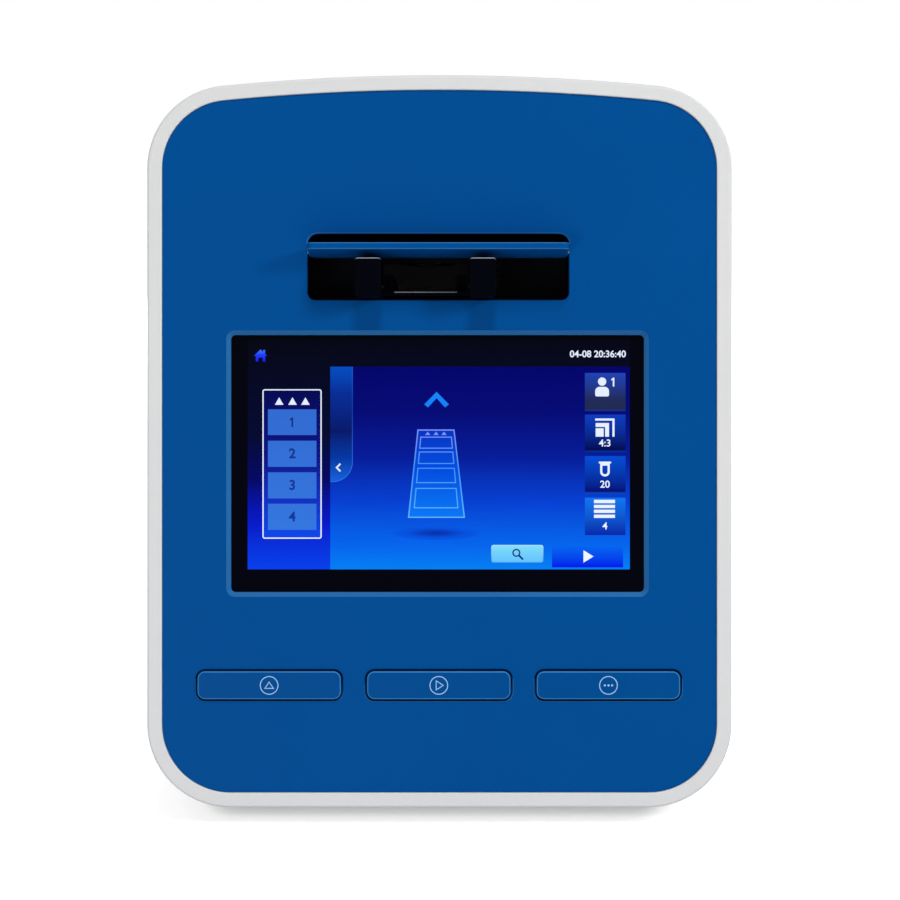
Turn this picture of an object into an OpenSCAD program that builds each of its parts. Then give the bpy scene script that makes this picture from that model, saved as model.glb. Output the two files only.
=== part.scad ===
// Automated cell counter: a bench instrument with a leaning front panel, a touch screen, three wide
// push buttons and a motorised slide port behind a flap door. Millimetres, +Z up, front towards -Y.
// The origin is the centre of the footprint, on the bench.

/* [Body] */
// Width of the front frame
body_w = 232.4; // [200:0.1:260]
// Height of the front frame, measured along the leaning panel
body_h = 291.2; // [275:0.1:320]
// Depth of the whole instrument
body_d = 210; // [205:1:260]
// Backward lean of the front panel, in degrees
lean = 10; // [5:0.5:14]
// Radius of the arched top edge
arch_r = 889; // [600:1:1400]
// Radius of the frame's outer corners
corner_r = 33; // [24:0.5:40]
// Width of the pale band around the panel
band_w = 5.9; // [5:0.1:7]
// Depth of the front frame
frame_depth = 26; // [24:0.5:32]
// Wall of the front frame
frame_wall = 3; // [2.4:0.1:3.6]
// Radius of the frame's front edge
edge_r = 1; // [0.6:0.1:4]
// Width of the rear housing at its back wall
rear_w = 204; // [190:1:220]
// Height of the rear housing at its back wall
rear_h = 240; // [235:1:265]
// Wall of the rear housing
housing_wall = 2.8; // [2.2:0.1:3.4]
// Radius around the edge of the back wall
back_r = 10; // [6:0.5:12]
// Radius of the rear housing's lower corners at the back wall
rear_foot_r = 16; // [12:0.5:24]
// Width and depth of the shadow gap between frame and housing
shadow_gap = 1.2; // [0.8:0.1:1.6]

/* [Front panel] */
// Thickness of the blue panel
panel_t = 3; // [2.6:0.1:3.6]
// Depth of the panel's face behind the band's face
panel_recess = 0.8; // [0.4:0.1:1.4]
// Width of the ledge that the panel rests on
ledge_w = 4; // [3:0.1:6]
// Thickness of that ledge
ledge_t = 2; // [1.6:0.1:3]
// Thickness of the chassis plate
chassis_t = 2; // [1.5:0.1:3]
// Diameter of the bosses that carry the chassis plate
boss_d = 8; // [7:0.1:9]

/* [Screen] */
// Width of the visible black glass
glass_w = 164.5; // [150:0.1:176]
// Height of the visible black glass
glass_h = 102.4; // [95:0.1:108]
// Sideways place of the glass centre
glass_u = -0.75; // [-3:0.05:3]
// Place of the glass centre along the panel
glass_v = -8.9; // [-10:0.1:-6]
// Width of the bevel around the glass
bevel_w = 2.5; // [1.5:0.1:3]
// Thickness of the touch glass
glass_t = 1.8; // [1.1:0.1:2.4]
// Rim of the touch glass hidden behind the panel
glass_rim = 2.8; // [2:0.1:4]
// Thickness of the display module
lcd_t = 5.4; // [4:0.1:6.5]

/* [Buttons] */
// Distance from the panel's sides to the outer buttons
key_side = 14.4; // [10:0.1:20]
// Space between two buttons
key_space = 10.4; // [8:0.1:14]
// Sideways place of the middle button
key_shift = -0.25; // [-1:0.05:1]
// Height of a button cap
cap_h = 11.1; // [9:0.1:14]
// Gap around a button cap
cap_gap = 0.8; // [0.4:0.05:1]
// Corner radius of a button cap
cap_r = 3; // [1.5:0.1:4]
// Place of the buttons along the panel
cap_v = -97; // [-102:0.5:-94]
// Height of a cap above the panel's face
cap_proud = 1.2; // [0.9:0.1:2]
// Travel of a button
cap_travel = 0.9; // [0.5:0.05:1.2]

/* [Slide port] */
// Width of the port in the panel
port_w = 104; // [96:0.1:112]
// Height of the port in the panel
port_h = 26.3; // [26:0.1:30]
// Sideways place of the port centre
port_u = -0.45; // [-2:0.05:2]
// Place of the port centre along the panel
port_v = 69.35; // [68:0.05:72]
// Upper corner radius of the port
port_r = 4; // [2.5:0.1:5]
// Depth of the port's dark lining
liner_depth = 32; // [26:0.5:36]
// Wall of the lining
liner_t = 1.8; // [1.4:0.1:2.4]
// Thickness of the flap door
door_t = 2.7; // [2.6:0.1:3.2]
// Gap between the closed door and the port's edge
door_gap = 0.45; // [0.3:0.05:0.7]
// Distance from the port's top down to the hinge pin
hinge_drop = 7.3; // [6.8:0.05:8]
// Opening angle of the door
door_open = 94; // [88:1:96]
// Diameter of the hinge pin
hinge_pin_d = 1.4; // [1.2:0.05:1.5]

/* [Slide tray] */
// Travel of the tray
tray_travel = 60; // [50:1:60]
// Distance that the tray's arms stand out of the panel when ejected
tray_out = 15; // [8:0.5:18]
// Sideways place of the tray centre
tray_u = -5.45; // [-7:0.05:-4]
// Width across the two arms
tray_w = 55.6; // [52:0.1:58]
// Height of the arms
arm_h = 15.2; // [13:0.1:15.4]
// Width of one arm
arm_w = 10.5; // [9:0.1:11]
// Length of the arms
arm_l = 34; // [24:1:36]
// Thickness of the tray's bed
bed_t = 1.8; // [1.4:0.1:2.4]
// Width of the channel that holds a slide
slide_w = 25.4; // [25:0.1:27]
// Height of the channel's side rails
rail_h = 7; // [4:0.5:9]
// Diameter of the light window in the bed
window_d = 17; // [10:0.5:18]
// Gap between tray and the port's floor
tray_gap = 0.6; // [0.3:0.05:0.8]

/* [Drive] */
// Diameter of the tray's guide rods
rod_d = 5; // [4:0.5:6]
// Diameter of the tray's lead screw
screw_d = 5; // [4:0.5:6]
// Distance from the right rod to the lead screw
screw_offset = 12; // [11.5:0.1:13]
// Side of the square tray motor
motor_w = 20; // [18:0.5:20]
// Length of the tray motor
motor_l = 27; // [22:0.5:28]
// Gap between the tray motor and the back wall
motor_clear = 1.2; // [0.8:0.1:6]
// Running clearance on the radius of a rod or screw
run_gap = 0.05; // [0.03:0.01:0.08]

/* [Optics] */
// Distance from the panel to the optical axis
optic_w = 85; // [83:0.5:87]
// Thickness of the optics deck
deck_t = 4; // [3:0.5:5]
// Diameter of the objective
objective_d = 18; // [16:0.5:20]
// Diameter of the camera tube
tube_d = 22; // [20:0.5:24]
// Diameter of the lamp housing
lamp_d = 24; // [20:0.5:26]
// Focus travel each way
focus_travel = 1.5; // [0.5:0.1:1.8]
// Diameter of the focus rods
focus_rod_d = 4; // [3:0.5:5]
// Diameter of the focus screw
focus_screw_d = 3; // [2.5:0.5:4]

/* [Base and rear] */
// Height of the rubber feet
foot_h = 4; // [3:0.5:6]
// Diameter of the rubber feet
foot_d = 18; // [14:0.5:20]
// Thickness of the base chassis sheet
sheet_t = 1.5; // [1.2:0.1:2]
// Height of the circuit board above the base sheet
standoff_h = 12; // [8:0.5:16]
// Thickness of the circuit boards
pcb_t = 1.6; // [1:0.1:2]
// Width of the main board
board_w = 150; // [130:1:160]
// Length of the main board
board_l = 104; // [90:1:110]
// Number of slots in the rear vent
vent_count = 9; // [5:1:13]
// Distance between two vent slots
vent_pitch = 9; // [7:0.5:12]
// Width of a vent slot
vent_w = 3; // [2:0.25:3.5]
// Length of a vent slot
vent_l = 48; // [20:1:60]

/* [Hidden] */

$fn = 64;
cut = 0.5;            // how far a cutting shape runs past the face that it cuts
seat_gap = 0.15;      // gap around a piece that drops into a pocket
corner_n = 10;        // segments in a corner of the body's outline
arch_n = 16;          // segments in the arched top
edge_n = 4;           // segments in a rounded edge

pale = [0.86, 0.87, 0.87];
blue = [0.02, 0.30, 0.57];
black = [0.05, 0.05, 0.06];
steel = [0.70, 0.71, 0.72];
metal = [0.78, 0.79, 0.80];
brass = [0.78, 0.62, 0.30];
green = [0.10, 0.38, 0.22];

// The panel's own frame: u to the right, v up the panel, w out of it. w = 0 is the band's face.
panel_z = foot_h + body_h / 2 * cos(lean) + frame_depth * sin(lean);
panel_y = -body_d / 2 + (body_h / 2 - edge_r) * sin(lean) + edge_r * (1 - cos(lean));

face_w = -panel_recess;                  // the blue face
panel_back = face_w - panel_t;           // its back, and the front of the ledge
ledge_back = panel_back - ledge_t;
chassis_w = panel_back - glass_t - lcd_t;    // front of the chassis plate
chassis_back = chassis_w - chassis_t;
cap_w = (body_w - 2 * band_w - 2 * key_side - 2 * key_space) / 3;    // width of a button cap
cap_pitch = cap_w + key_space;
switch_top = chassis_w + pcb_t + 4.2;    // top of a key switch's plunger
catch_t = 1.2;                           // thickness of the flange around a button's skirt
boss_inset = frame_wall + boss_d / 2 - 0.5;

port_top = port_v + port_h / 2;
port_floor = port_v - port_h / 2;
liner_back = face_w - panel_t - liner_depth;

hinge_v = port_top - hinge_drop;
door_face = face_w - 0.4;                // outer face of the closed door
hinge_w = door_face - door_t * 0.52;
door_top = port_top - door_gap;
door_bottom = port_floor + door_gap;

tray_floor = port_floor + tray_gap;      // underside of the arms and bed
bed_v = tray_floor + 0.8;                // underside of the bed, a little above the arms
bed_top = bed_v + bed_t;
arm_top = tray_floor + arm_h;
arm_front = tray_out;                    // w of the arms' front ends
bed_front = 1.5;                         // w of the bed's front edge
rail_w = 4;                              // thickness of a channel rail
groove_v = bed_top - 0.2;
groove_h = 4.1;
groove_d = 3.6;

rod_v = tray_floor + 5.5;                // height of rods and lead screw

rear_proud = 2.9;                        // how far the switch stands out of the back wall
rear_y = body_d / 2 - rear_proud;        // outer face of the back wall
wall_y = rear_y - housing_wall;          // inner face of the back wall
block_t = 5;                             // thickness of a rail block
motor_back_w = -(wall_y - motor_clear - panel_y - (rod_v + motor_w / 2) * sin(lean)) / cos(lean);
block_rear_w = motor_back_w + motor_l + block_t;    // front face of the rear rail block
tray_back = block_rear_w + 1 + tray_travel;         // rear end of the tray, ejected
ear_back = tray_back + 1;                // w of the rear ear's back

rod_reach = tray_w / 2 + rod_d / 2 + 5.2;    // from the tray's centre to a rod
rod_left = tray_u - rod_reach;
rod_right = tray_u + rod_reach;
screw_u = rod_right + screw_offset;
ear_l = 8;                               // length of one sliding ear
nut_flange_d = 10;
nut_body_d = 7.5;

deck_top = tray_floor - 6.6;
deck_v = deck_top - deck_t;
block_front_w = liner_back - liner_t - 4;    // front face of the front rail block
deck_left = rod_left - 9;
deck_right = screw_u + motor_w / 2 + 1;
block_right = screw_u + 6;
block_left = rod_left - 6;

lamp_v = arm_top + 4;                    // lower end of the lamp housing
bridge_v = lamp_v + 8;                   // underside of the bridge
bridge_t = 4;
bridge_l = 30;

objective_tip = tray_floor - 1.2 - focus_travel;
objective_l = 32;
tube_v = objective_tip - objective_l;    // top of the camera tube
tube_l = 38;
carriage_v = tube_v - 26;
carriage_h = 20;
focus_w = -optic_w - tube_d / 2 - 6;     // plane of the focus rods
focus_rod_x = 17;                        // from the axis to a focus rod
focus_plate_w = focus_w - 10;            // front face of the focus frame's back plate
focus_plate_t = 4;
focus_floor = tube_v - tube_l - 18;      // top of the focus frame's foot
focus_motor_d = 15;
focus_motor_l = 12;

base_z = foot_h + housing_wall;          // top of the housing's floor
split_y = panel_y - body_h / 2 * sin(lean) + frame_depth * cos(lean);
flange_w = -frame_depth - 5;             // front face of the base chassis's front flange
base_half = min(rear_w / 2 - rear_foot_r, body_w / 2 - corner_r) - 3;    // half width of the base chassis
base_bend = back_r;                      // outer radius of its rear bend
base_flange_h = 42;                      // height of its rear flange
sheet_top = base_z + sheet_t;
board_z = sheet_top + standoff_h;
board_top = board_z + pcb_t;
board_y = wall_y - sheet_t - 9;          // rear edge of the main board
foot_x = body_w / 2 - corner_r - 12;
foot_y_front = split_y + 18;
foot_y_rear = rear_y - back_r - 24;
foot_hole_d = 3.4;                       // clearance hole of a foot's screw
jack_x = 22;
usb_x = 52;
usb_pitch = 17;
rocker_x = -52;
rocker_z = board_top + 8;
vent_z = rear_h * 0.62;
ribbon_v = cap_v + 26;                   // height of the ribbon's slot in the chassis plate
ribbon_w = 20;
ribbon_slot_w = 60;

// ---------------------------------------------------------------- outlines and shared shapes

// Points of an arc, from angle a0 to a1.
function arc(cx, cy, r, a0, a1, n) =
    [for (i = [0:n]) let (a = a0 + (a1 - a0) * i / n) [cx + r * cos(a), cy + r * sin(a)]];

// A body section: flat bottom, straight sides, arched top and rounded corners. y0 and y1 are its
// bottom and the crown of its arch, ar the arch's radius, rt and rb the corner radii.
function section(hw, y0, y1, ar, rt, rb) =
    let (
        cy = y1 - ar,
        ct = cy + sqrt(pow(ar - rt, 2) - pow(hw - rt, 2)),
        turn = atan2(ct - cy, hw - rt)
    )
    concat(
        arc(hw - rb, y0 + rb, rb, -90, 0, corner_n),
        arc(hw - rt, ct, rt, 0, turn, corner_n),
        [for (i = [1:arch_n - 1]) let (a = turn + (180 - 2 * turn) * i / arch_n)
            [ar * cos(a), cy + ar * sin(a)]],
        arc(-(hw - rt), ct, rt, 180 - turn, 180, corner_n),
        arc(-(hw - rb), y0 + rb, rb, 180, 270, corner_n)
    );

// The frame's outline, moved inwards by an inset.
function outline(inset) = section(
    body_w / 2 - inset, -body_h / 2 + inset, body_h / 2 - inset,
    arch_r - inset, corner_r - inset, corner_r - inset
);

// Points of a rounded rectangle about a centre.
function round_box(cx, cy, w, h, r, n = 5) = concat(
    arc(cx + w / 2 - r, cy - h / 2 + r, r, -90, 0, n),
    arc(cx + w / 2 - r, cy + h / 2 - r, r, 0, 90, n),
    arc(cx - w / 2 + r, cy + h / 2 - r, r, 90, 180, n),
    arc(cx - w / 2 + r, cy - h / 2 + r, r, 180, 270, n)
);

function raised(points, w) = [for (p = points) [p[0], p[1], w]];

// A solid skinned over rings of points, first ring in front.
module skin(rings) {
    m = len(rings[0]);
    n = len(rings);
    polyhedron(
        points = [for (ring = rings) each ring],
        faces = concat(
            [[for (i = [m - 1:-1:0]) i]],
            [for (k = [0:n - 2]) each [for (i = [0:m - 1])
                each [
                    [k * m + i, k * m + (i + 1) % m, (k + 1) * m + (i + 1) % m],
                    [k * m + i, (k + 1) * m + (i + 1) % m, (k + 1) * m + i]
                ]]],
            [[for (i = [0:m - 1]) (n - 1) * m + i]]
        ),
        convexity = 6
    );
}

// Children are placed in the panel's frame.
module on_panel() {
    translate([0, panel_y, panel_z]) rotate([90 - lean, 0, 0]) children();
}

// A flat shape in the panel's plane, between two depths.
module slab(w0, w1) {
    translate([0, 0, min(w0, w1)]) linear_extrude(abs(w1 - w0)) children();
}

// A round bar along v, between two heights.
module bar_v(u, w, v0, v1, d) {
    translate([u, v0, w]) rotate([-90, 0, 0]) cylinder(d = d, h = v1 - v0);
}

// A round bar along w, between two depths.
module bar_w(u, v, w0, w1, d) {
    translate([u, v, min(w0, w1)]) cylinder(d = d, h = abs(w1 - w0));
}

// A box in the panel's frame from one corner to the other.
module block(a, b) {
    translate([min(a[0], b[0]), min(a[1], b[1]), min(a[2], b[2])])
        cube([abs(b[0] - a[0]), abs(b[1] - a[1]), abs(b[2] - a[2])]);
}

// A flat rounded rectangle about a centre, with true arcs.
module plate(cx, cy, w, h, r) {
    translate([cx, cy]) {
        square([w - 2 * r, h], center = true);
        square([w, h - 2 * r], center = true);
        for (sx = [-1, 1], sy = [-1, 1])
            translate([sx * (w / 2 - r), sy * (h / 2 - r)]) circle(r);
    }
}

// Places of the six bosses between frame and chassis plate.
boss_points = let (x = body_w / 2 - boss_inset, y = body_h / 2 - corner_r - 4) [
    for (sx = [-1, 1], v = [-y, 4, y]) [sx * x, v]
];

// Places of the four spacers between chassis plate and base chassis.
spacer_points = [for (i = [-1.5:1.5]) [i * (base_half - 10) / 1.5, -body_h / 2 + 22]];

// ---------------------------------------------------------------- casing

// Moulded frame: a rounded band, a ledge for the panel and bosses for the chassis plate.
module front_frame() {
    rounds = [for (i = [0:edge_n]) let (a = 90 * i / edge_n)
        raised(outline(edge_r * (1 - sin(a))), -edge_r * (1 - cos(a)))];
    color(pale) on_panel() difference() {
        union() {
            difference() {
                skin(concat(rounds, [raised(outline(0), -frame_depth)]));
                slab(panel_back, edge_r) polygon(outline(band_w));
                slab(panel_back - ledge_t - cut, panel_back + cut) polygon(outline(band_w + ledge_w));
                slab(ledge_back, -frame_depth - cut) polygon(outline(frame_wall));
            }
            for (p = boss_points)
                bar_w(p[0], p[1], ledge_back + 0.4, chassis_w, boss_d);
        }
        for (p = boss_points)
            bar_w(p[0], p[1], chassis_w - cut, ledge_back - 0.2, 2.6);
    }
}

// Blue panel: drops on the ledge and carries the port, the screen opening and the button pockets.
module front_panel() {
    color(blue) on_panel() difference() {
        slab(panel_back, face_w) polygon(outline(band_w + seat_gap));
        screen_bevel();
        slab(panel_back - cut, face_w + cut) port_outline(0);
        for (i = [-1:1])
            slab(panel_back - cut, face_w + cut)
                plate(button_u(i), cap_v, cap_w + 2 * cap_gap, cap_h + 2 * cap_gap, cap_r + cap_gap);
        for (s = [-1, 1])
            translate([port_u + s * (port_w / 2 - cut), hinge_v, hinge_w])
                rotate([0, s * 90, 0]) cylinder(d = hinge_pin_d + 2 * run_gap, h = 3 + cut);
    }
}

function button_u(i) = i * cap_pitch + key_shift;

// Bevelled opening over the touch glass.
module screen_bevel() {
    grow = bevel_w * cut / panel_t;
    skin([
        raised(round_box(glass_u, glass_v, glass_w + 2 * (bevel_w + grow), glass_h + 2 * (bevel_w + grow),
            1.8 + bevel_w), face_w + cut),
        raised(round_box(glass_u, glass_v, glass_w - 2 * grow, glass_h - 2 * grow, 1.8), panel_back - cut)
    ]);
}

// Outline of the slide port, grown by g, with its upper corners rounder than its lower ones.
module port_outline(g) {
    w = port_w + 2 * g;
    translate([port_u, port_v]) {
        for (s = [-1, 1]) {
            translate([s * (w / 2 - port_r - g), port_h / 2 - port_r]) circle(port_r + g);
            translate([s * (w / 2 - port_r * 0.75 - g), -port_h / 2 + port_r * 0.75])
                circle(port_r * 0.75 + g);
        }
        square([w, port_h - 2 * port_r], center = true);
        translate([-w / 2 + port_r + g, -port_h / 2 - g]) square([w - 2 * port_r - 2 * g, port_h + 2 * g]);
        translate([-w / 2 + port_r * 0.75 + g, -port_h / 2 - g])
            square([w - 1.5 * port_r - 2 * g, port_h / 2]);
        translate([-w / 2, -port_h / 2 + port_r * 0.75]) square([w, port_h / 2]);
    }
}

// One ring of the housing: y is where its plane meets the floor, and it turns upright towards the back.
function housing_ring(y, inset) =
    let (
        t = (y - split_y) / (rear_y - split_y),
        tilt = lean * (1 - t),
        hw = body_w / 2 - (body_w - rear_w) / 2 * t * abs(t),
        h = body_h - (body_h - rear_h) * (0.25 * t + 0.75 * t * abs(t)),
        rt = corner_r + 6 * t,
        rb = corner_r + (rear_foot_r - corner_r) * t
    )
    [for (p = section(hw - inset, inset, h - inset, arch_r - inset, rt - inset, rb - inset))
        [p[0], y + p[1] * sin(tilt), foot_h + p[1] * cos(tilt)]];

// Plain rear housing: one moulding lofted from the leaning frame to the upright back wall.
module rear_housing() {
    start_y = split_y + shadow_gap;
    stations = 6;
    round_y = rear_y - back_r;
    inner_r = back_r - housing_wall;
    outer = concat(
        [for (i = [0:stations - 1]) housing_ring(start_y + (round_y - start_y) * i / stations, 0)],
        [for (i = [0:edge_n]) let (a = 90 * i / edge_n)
            housing_ring(round_y + back_r * sin(a), back_r * (1 - cos(a)))]
    );
    inner = concat(
        [for (i = [0:stations - 1])
            housing_ring(start_y - 2 + (round_y - start_y + 2) * i / stations, housing_wall)],
        [for (i = [0:edge_n]) let (a = 90 * i / edge_n)
            housing_ring(round_y + inner_r * sin(a), housing_wall + inner_r * (1 - cos(a)))]
    );
    color(pale) difference() {
        union() {
            difference() {
                skin(outer);
                skin(inner);
            }
            on_panel() {
                difference() {
                    slab(-frame_depth, -frame_depth - 3) polygon(outline(shadow_gap));
                    slab(-frame_depth + cut, -frame_depth - 3 - cut) polygon(outline(frame_wall + 2.2));
                }
                difference() {
                    slab(-frame_depth + 4, -frame_depth - 1) polygon(outline(frame_wall + 0.2));
                    slab(-frame_depth + 4 + cut, -frame_depth - 1 - cut) polygon(outline(frame_wall + 2.2));
                }
            }
        }
        rear_cutouts(0);
        for (p = foot_points())
            translate([p[0], p[1], foot_h - cut]) cylinder(d = foot_hole_d, h = housing_wall + 2 * cut);
    }
}

// Everything that opens in the back wall: vent, sockets, switch and two screws. g widens the cut-outs.
module rear_cutouts(g) {
    depth = housing_wall + sheet_t + 2 * cut;
    translate([0, wall_y - sheet_t - cut, 0]) rotate([90, 0, 0]) mirror([0, 0, 1]) linear_extrude(depth) {
        for (i = [0:vent_count - 1])
            translate([(i - (vent_count - 1) / 2) * vent_pitch, vent_z])
                plate(0, 0, vent_w, vent_l, vent_w / 2 - 0.01);
        translate([jack_x, board_top + 5.5]) circle(d = 9 + 2 * g);
        for (s = [-1, 1]) plate(usb_x + s * usb_pitch / 2, board_top + 3.6, 13.6 + 2 * g, 7 + 2 * g, 0.3);
        plate(rocker_x, rocker_z, 19.4 + 2 * g, 13 + 2 * g, 0.3);
        for (p = rear_screw_points()) translate(p) circle(d = 3.4);
    }
}

function rear_screw_points() = [for (s = [-1, 1]) [s * (base_half - 5), board_top + 12]];

function foot_points() = [
    [-foot_x, foot_y_front], [foot_x, foot_y_front], [-foot_x, foot_y_rear], [foot_x, foot_y_rear]
];

// ---------------------------------------------------------------- base

// Place in the y-z plane of a point at height v and depth w in the panel's frame.
function yz(v, w) = [panel_y + v * sin(lean) - w * cos(lean), panel_z + v * cos(lean) + w * sin(lean)];

// Height v at which the plane of depth w meets the level z.
function v_at(z, w) = (z - panel_z - w * sin(lean)) / cos(lean);

// Bent sheet: a floor, a front flange that leans with the panel and a rear flange behind the sockets.
module base_chassis() {
    back_w = flange_w - sheet_t;
    lip_v = -body_h / 2 + 34;
    rear_bend = [wall_y - base_bend, base_z + base_bend];
    color(steel) difference() {
        translate([-base_half, 0, 0]) rotate([90, 0, 90]) linear_extrude(2 * base_half) polygon(concat(
            [yz(lip_v, flange_w), yz(v_at(base_z, flange_w), flange_w)],
            arc(rear_bend[0], rear_bend[1], base_bend, -90, 0, 8),
            [[wall_y, base_z + base_flange_h], [wall_y - sheet_t, base_z + base_flange_h]],
            arc(rear_bend[0], rear_bend[1], base_bend - sheet_t, 0, -90, 8),
            [yz(v_at(sheet_top, back_w), back_w), yz(lip_v, back_w)]
        ));
        rear_cutouts(0.2);
        for (p = foot_points())
            translate([p[0], p[1], base_z - cut]) cylinder(d = foot_hole_d, h = sheet_t + 2 * cut);
        on_panel() for (p = spacer_points) bar_w(p[0], p[1], flange_w + cut, back_w - cut, 3.4);
    }
}

module foot(p) {
    color(black) translate([p[0], p[1], 0]) difference() {
        rotate_extrude() polygon([
            [0, foot_h], [foot_d / 2 - 0.6, foot_h], [foot_d / 2, foot_h - 0.6], [foot_d / 2, 1.4],
            [foot_d / 2 - 0.5, 0.4], [foot_d / 2 - 1.2, 0], [0, 0]
        ]);
        translate([0, 0, -cut]) cylinder(d = 8, h = foot_h / 2 + cut);
        translate([0, 0, -cut]) cylinder(d = 3.4, h = foot_h + 2 * cut);
    }
}

// Four screws that pass up through feet and housing into the base chassis.
module foot_screws() {
    color(steel) for (p = foot_points()) translate([p[0], p[1], foot_h / 2]) {
        translate([0, 0, -1.4]) cylinder(d = 6, h = 1.4);
        cylinder(d = 3, h = sheet_top + 2 - foot_h / 2);
        translate([0, 0, sheet_top - foot_h / 2]) cylinder(d = 6.4, h = 2.4, $fn = 6);
    }
}

// Two pan-head screws in the back wall.
module rear_screws() {
    color(steel) for (p = rear_screw_points()) translate([p[0], rear_y, p[1]]) {
        rotate([-90, 0, 0]) rotate_extrude() polygon([[0, 0], [3, 0], [3, 0.8], [2.2, 1.7], [0, 2]]);
        rotate([90, 0, 0]) cylinder(d = 3, h = 9);
    }
}

// ---------------------------------------------------------------- chassis plate and screen

// Sheet that closes the back of the frame, clamps the display and lets the port through.
module chassis_plate() {
    color(metal) on_panel() difference() {
        slab(chassis_w, chassis_back) polygon(outline(frame_wall + 0.4));
        slab(chassis_w + cut, chassis_back - cut) {
            port_outline(liner_t + 0.6);
            for (i = [-1, 1]) plate(i * glass_w * 0.28, glass_v - 4, glass_w * 0.34, glass_h * 0.585, 6);
            plate(0, ribbon_v, ribbon_slot_w, 9, 3);
            for (i = [-1:1]) plate(i * body_w * 0.26, port_top + 30, body_w * 0.17, 14, 6.5);
        }
        for (p = concat(boss_points, spacer_points))
            bar_w(p[0], p[1], chassis_w + cut, chassis_back - cut, 3.4);
    }
}

module chassis_screws() {
    color(steel) on_panel() for (p = boss_points) {
        bar_w(p[0], p[1], ledge_back - 0.5, chassis_back, 2.5);
        bar_w(p[0], p[1], chassis_back, chassis_back - 1.8, 5.5);
    }
}

module chassis_spacers() {
    color(steel) on_panel() for (p = spacer_points)
        bar_w(p[0], p[1], chassis_back, flange_w, 6);
}

module touch_glass() {
    color(black) on_panel() slab(panel_back, panel_back - glass_t)
        plate(glass_u, glass_v, glass_w + 2 * glass_rim, glass_h + 2 * glass_rim, 2.4);
}

// Display module: a metal can with a folded rim and a driver board on its back.
module lcd_module() {
    w0 = panel_back - glass_t;
    color(metal) on_panel() difference() {
        slab(w0, w0 - lcd_t) plate(glass_u, glass_v, glass_w + 2, glass_h + 2, 1.5);
        slab(w0 - lcd_t + 1.2, w0 - lcd_t - cut) plate(glass_u, glass_v, glass_w - 8, glass_h - 8, 2);
    }
}

// ---------------------------------------------------------------- buttons

// A wide cap with a rounded edge, a flange that catches behind the panel and a short stem.
module button(u) {
    front = face_w + cap_proud;
    catch_w = panel_back - 0.05;
    top_t = 2.2;
    edge = 0.8;
    rounds = [for (i = [0:3]) let (a = 30 * i, inset = edge * (1 - sin(a)))
        raised(round_box(u, cap_v, cap_w - 2 * inset, cap_h - 2 * inset, cap_r - inset),
            front - edge * (1 - cos(a)))];
    skirt = raised(round_box(u, cap_v, cap_w, cap_h, cap_r), catch_w - catch_t / 2);
    color(blue) on_panel() {
        difference() {
            union() {
                skin(concat(rounds, [skirt]));
                slab(catch_w, catch_w - catch_t)
                    plate(u, cap_v, cap_w + 2 * cap_gap + 3, cap_h + 2 * cap_gap + 3, cap_r);
            }
            slab(front - top_t, catch_w - catch_t - cut) plate(u, cap_v, cap_w - 3.2, cap_h - 3.2, 1);
        }
        bar_w(u, cap_v, front - top_t / 2, switch_top + cap_travel + 0.1, 4);
    }
}

// Board behind the buttons with three key switches and a lamp beside each.
module button_board() {
    w0 = chassis_w + pcb_t;
    color(green) on_panel() {
        slab(w0, chassis_w) plate(button_u(0), cap_v, 2 * cap_pitch + 26, 22, 2);
        for (i = [-1:1]) {
            block([button_u(i) - 3, cap_v - 3, w0], [button_u(i) + 3, cap_v + 3, w0 + 3.4]);
            bar_w(button_u(i), cap_v, w0 + 3.4, switch_top, 3.4);
            block([button_u(i) + 7, cap_v - 1.4, w0], [button_u(i) + 10, cap_v + 1.4, w0 + 1.4]);
        }
    }
}

// ---------------------------------------------------------------- slide port

// Dark lining: a flange behind the panel, a tube and a back wall with the tray's gateway.
module port_liner() {
    color(black) on_panel() difference() {
        union() {
            slab(panel_back, panel_back - 1.6) port_outline(5);
            slab(panel_back, liner_back) port_outline(liner_t + 0.1);
        }
        slab(panel_back + cut, liner_back + liner_t) port_outline(0.1);
        block([tray_u - tray_w / 2 - 1.5, port_floor + 0.05, liner_back + liner_t + cut],
            [tray_u + tray_w / 2 + 1.5, arm_top + 1, liner_back - cut]);
    }
}

// Flap door, drawn open. It has the port's outline and a section with broken edges, closed, and is
// turned about the pin.
module port_door() {
    half = port_w / 2;
    edge = 0.5;
    back = door_face - door_t;
    color(blue) on_panel() translate([0, hinge_v, hinge_w]) rotate([-door_open, 0, 0])
        translate([0, -hinge_v, -hinge_w]) difference() {
            intersection() {
                slab(back - cut, door_face + cut) port_outline(-door_gap);
                translate([port_u - half, 0, 0]) rotate([90, 0, 90]) linear_extrude(2 * half) polygon([
                    [door_bottom + edge, door_face], [door_bottom, door_face - edge],
                    [door_bottom, back + edge], [door_bottom + edge, back],
                    [door_top - 2 * edge, back], [door_top, back + 2 * edge],
                    [door_top, door_face - edge], [door_top - edge, door_face]
                ]);
            }
            translate([port_u - half, hinge_v, hinge_w]) rotate([0, 90, 0])
                cylinder(d = hinge_pin_d + 2 * run_gap, h = 2 * half);
        }
}

module door_pin() {
    color(steel) on_panel() translate([port_u - port_w / 2 - 2.8, hinge_v, hinge_w]) rotate([0, 90, 0])
        cylinder(d = hinge_pin_d, h = port_w + 5.6);
}

// ---------------------------------------------------------------- slide tray and its drive

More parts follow.
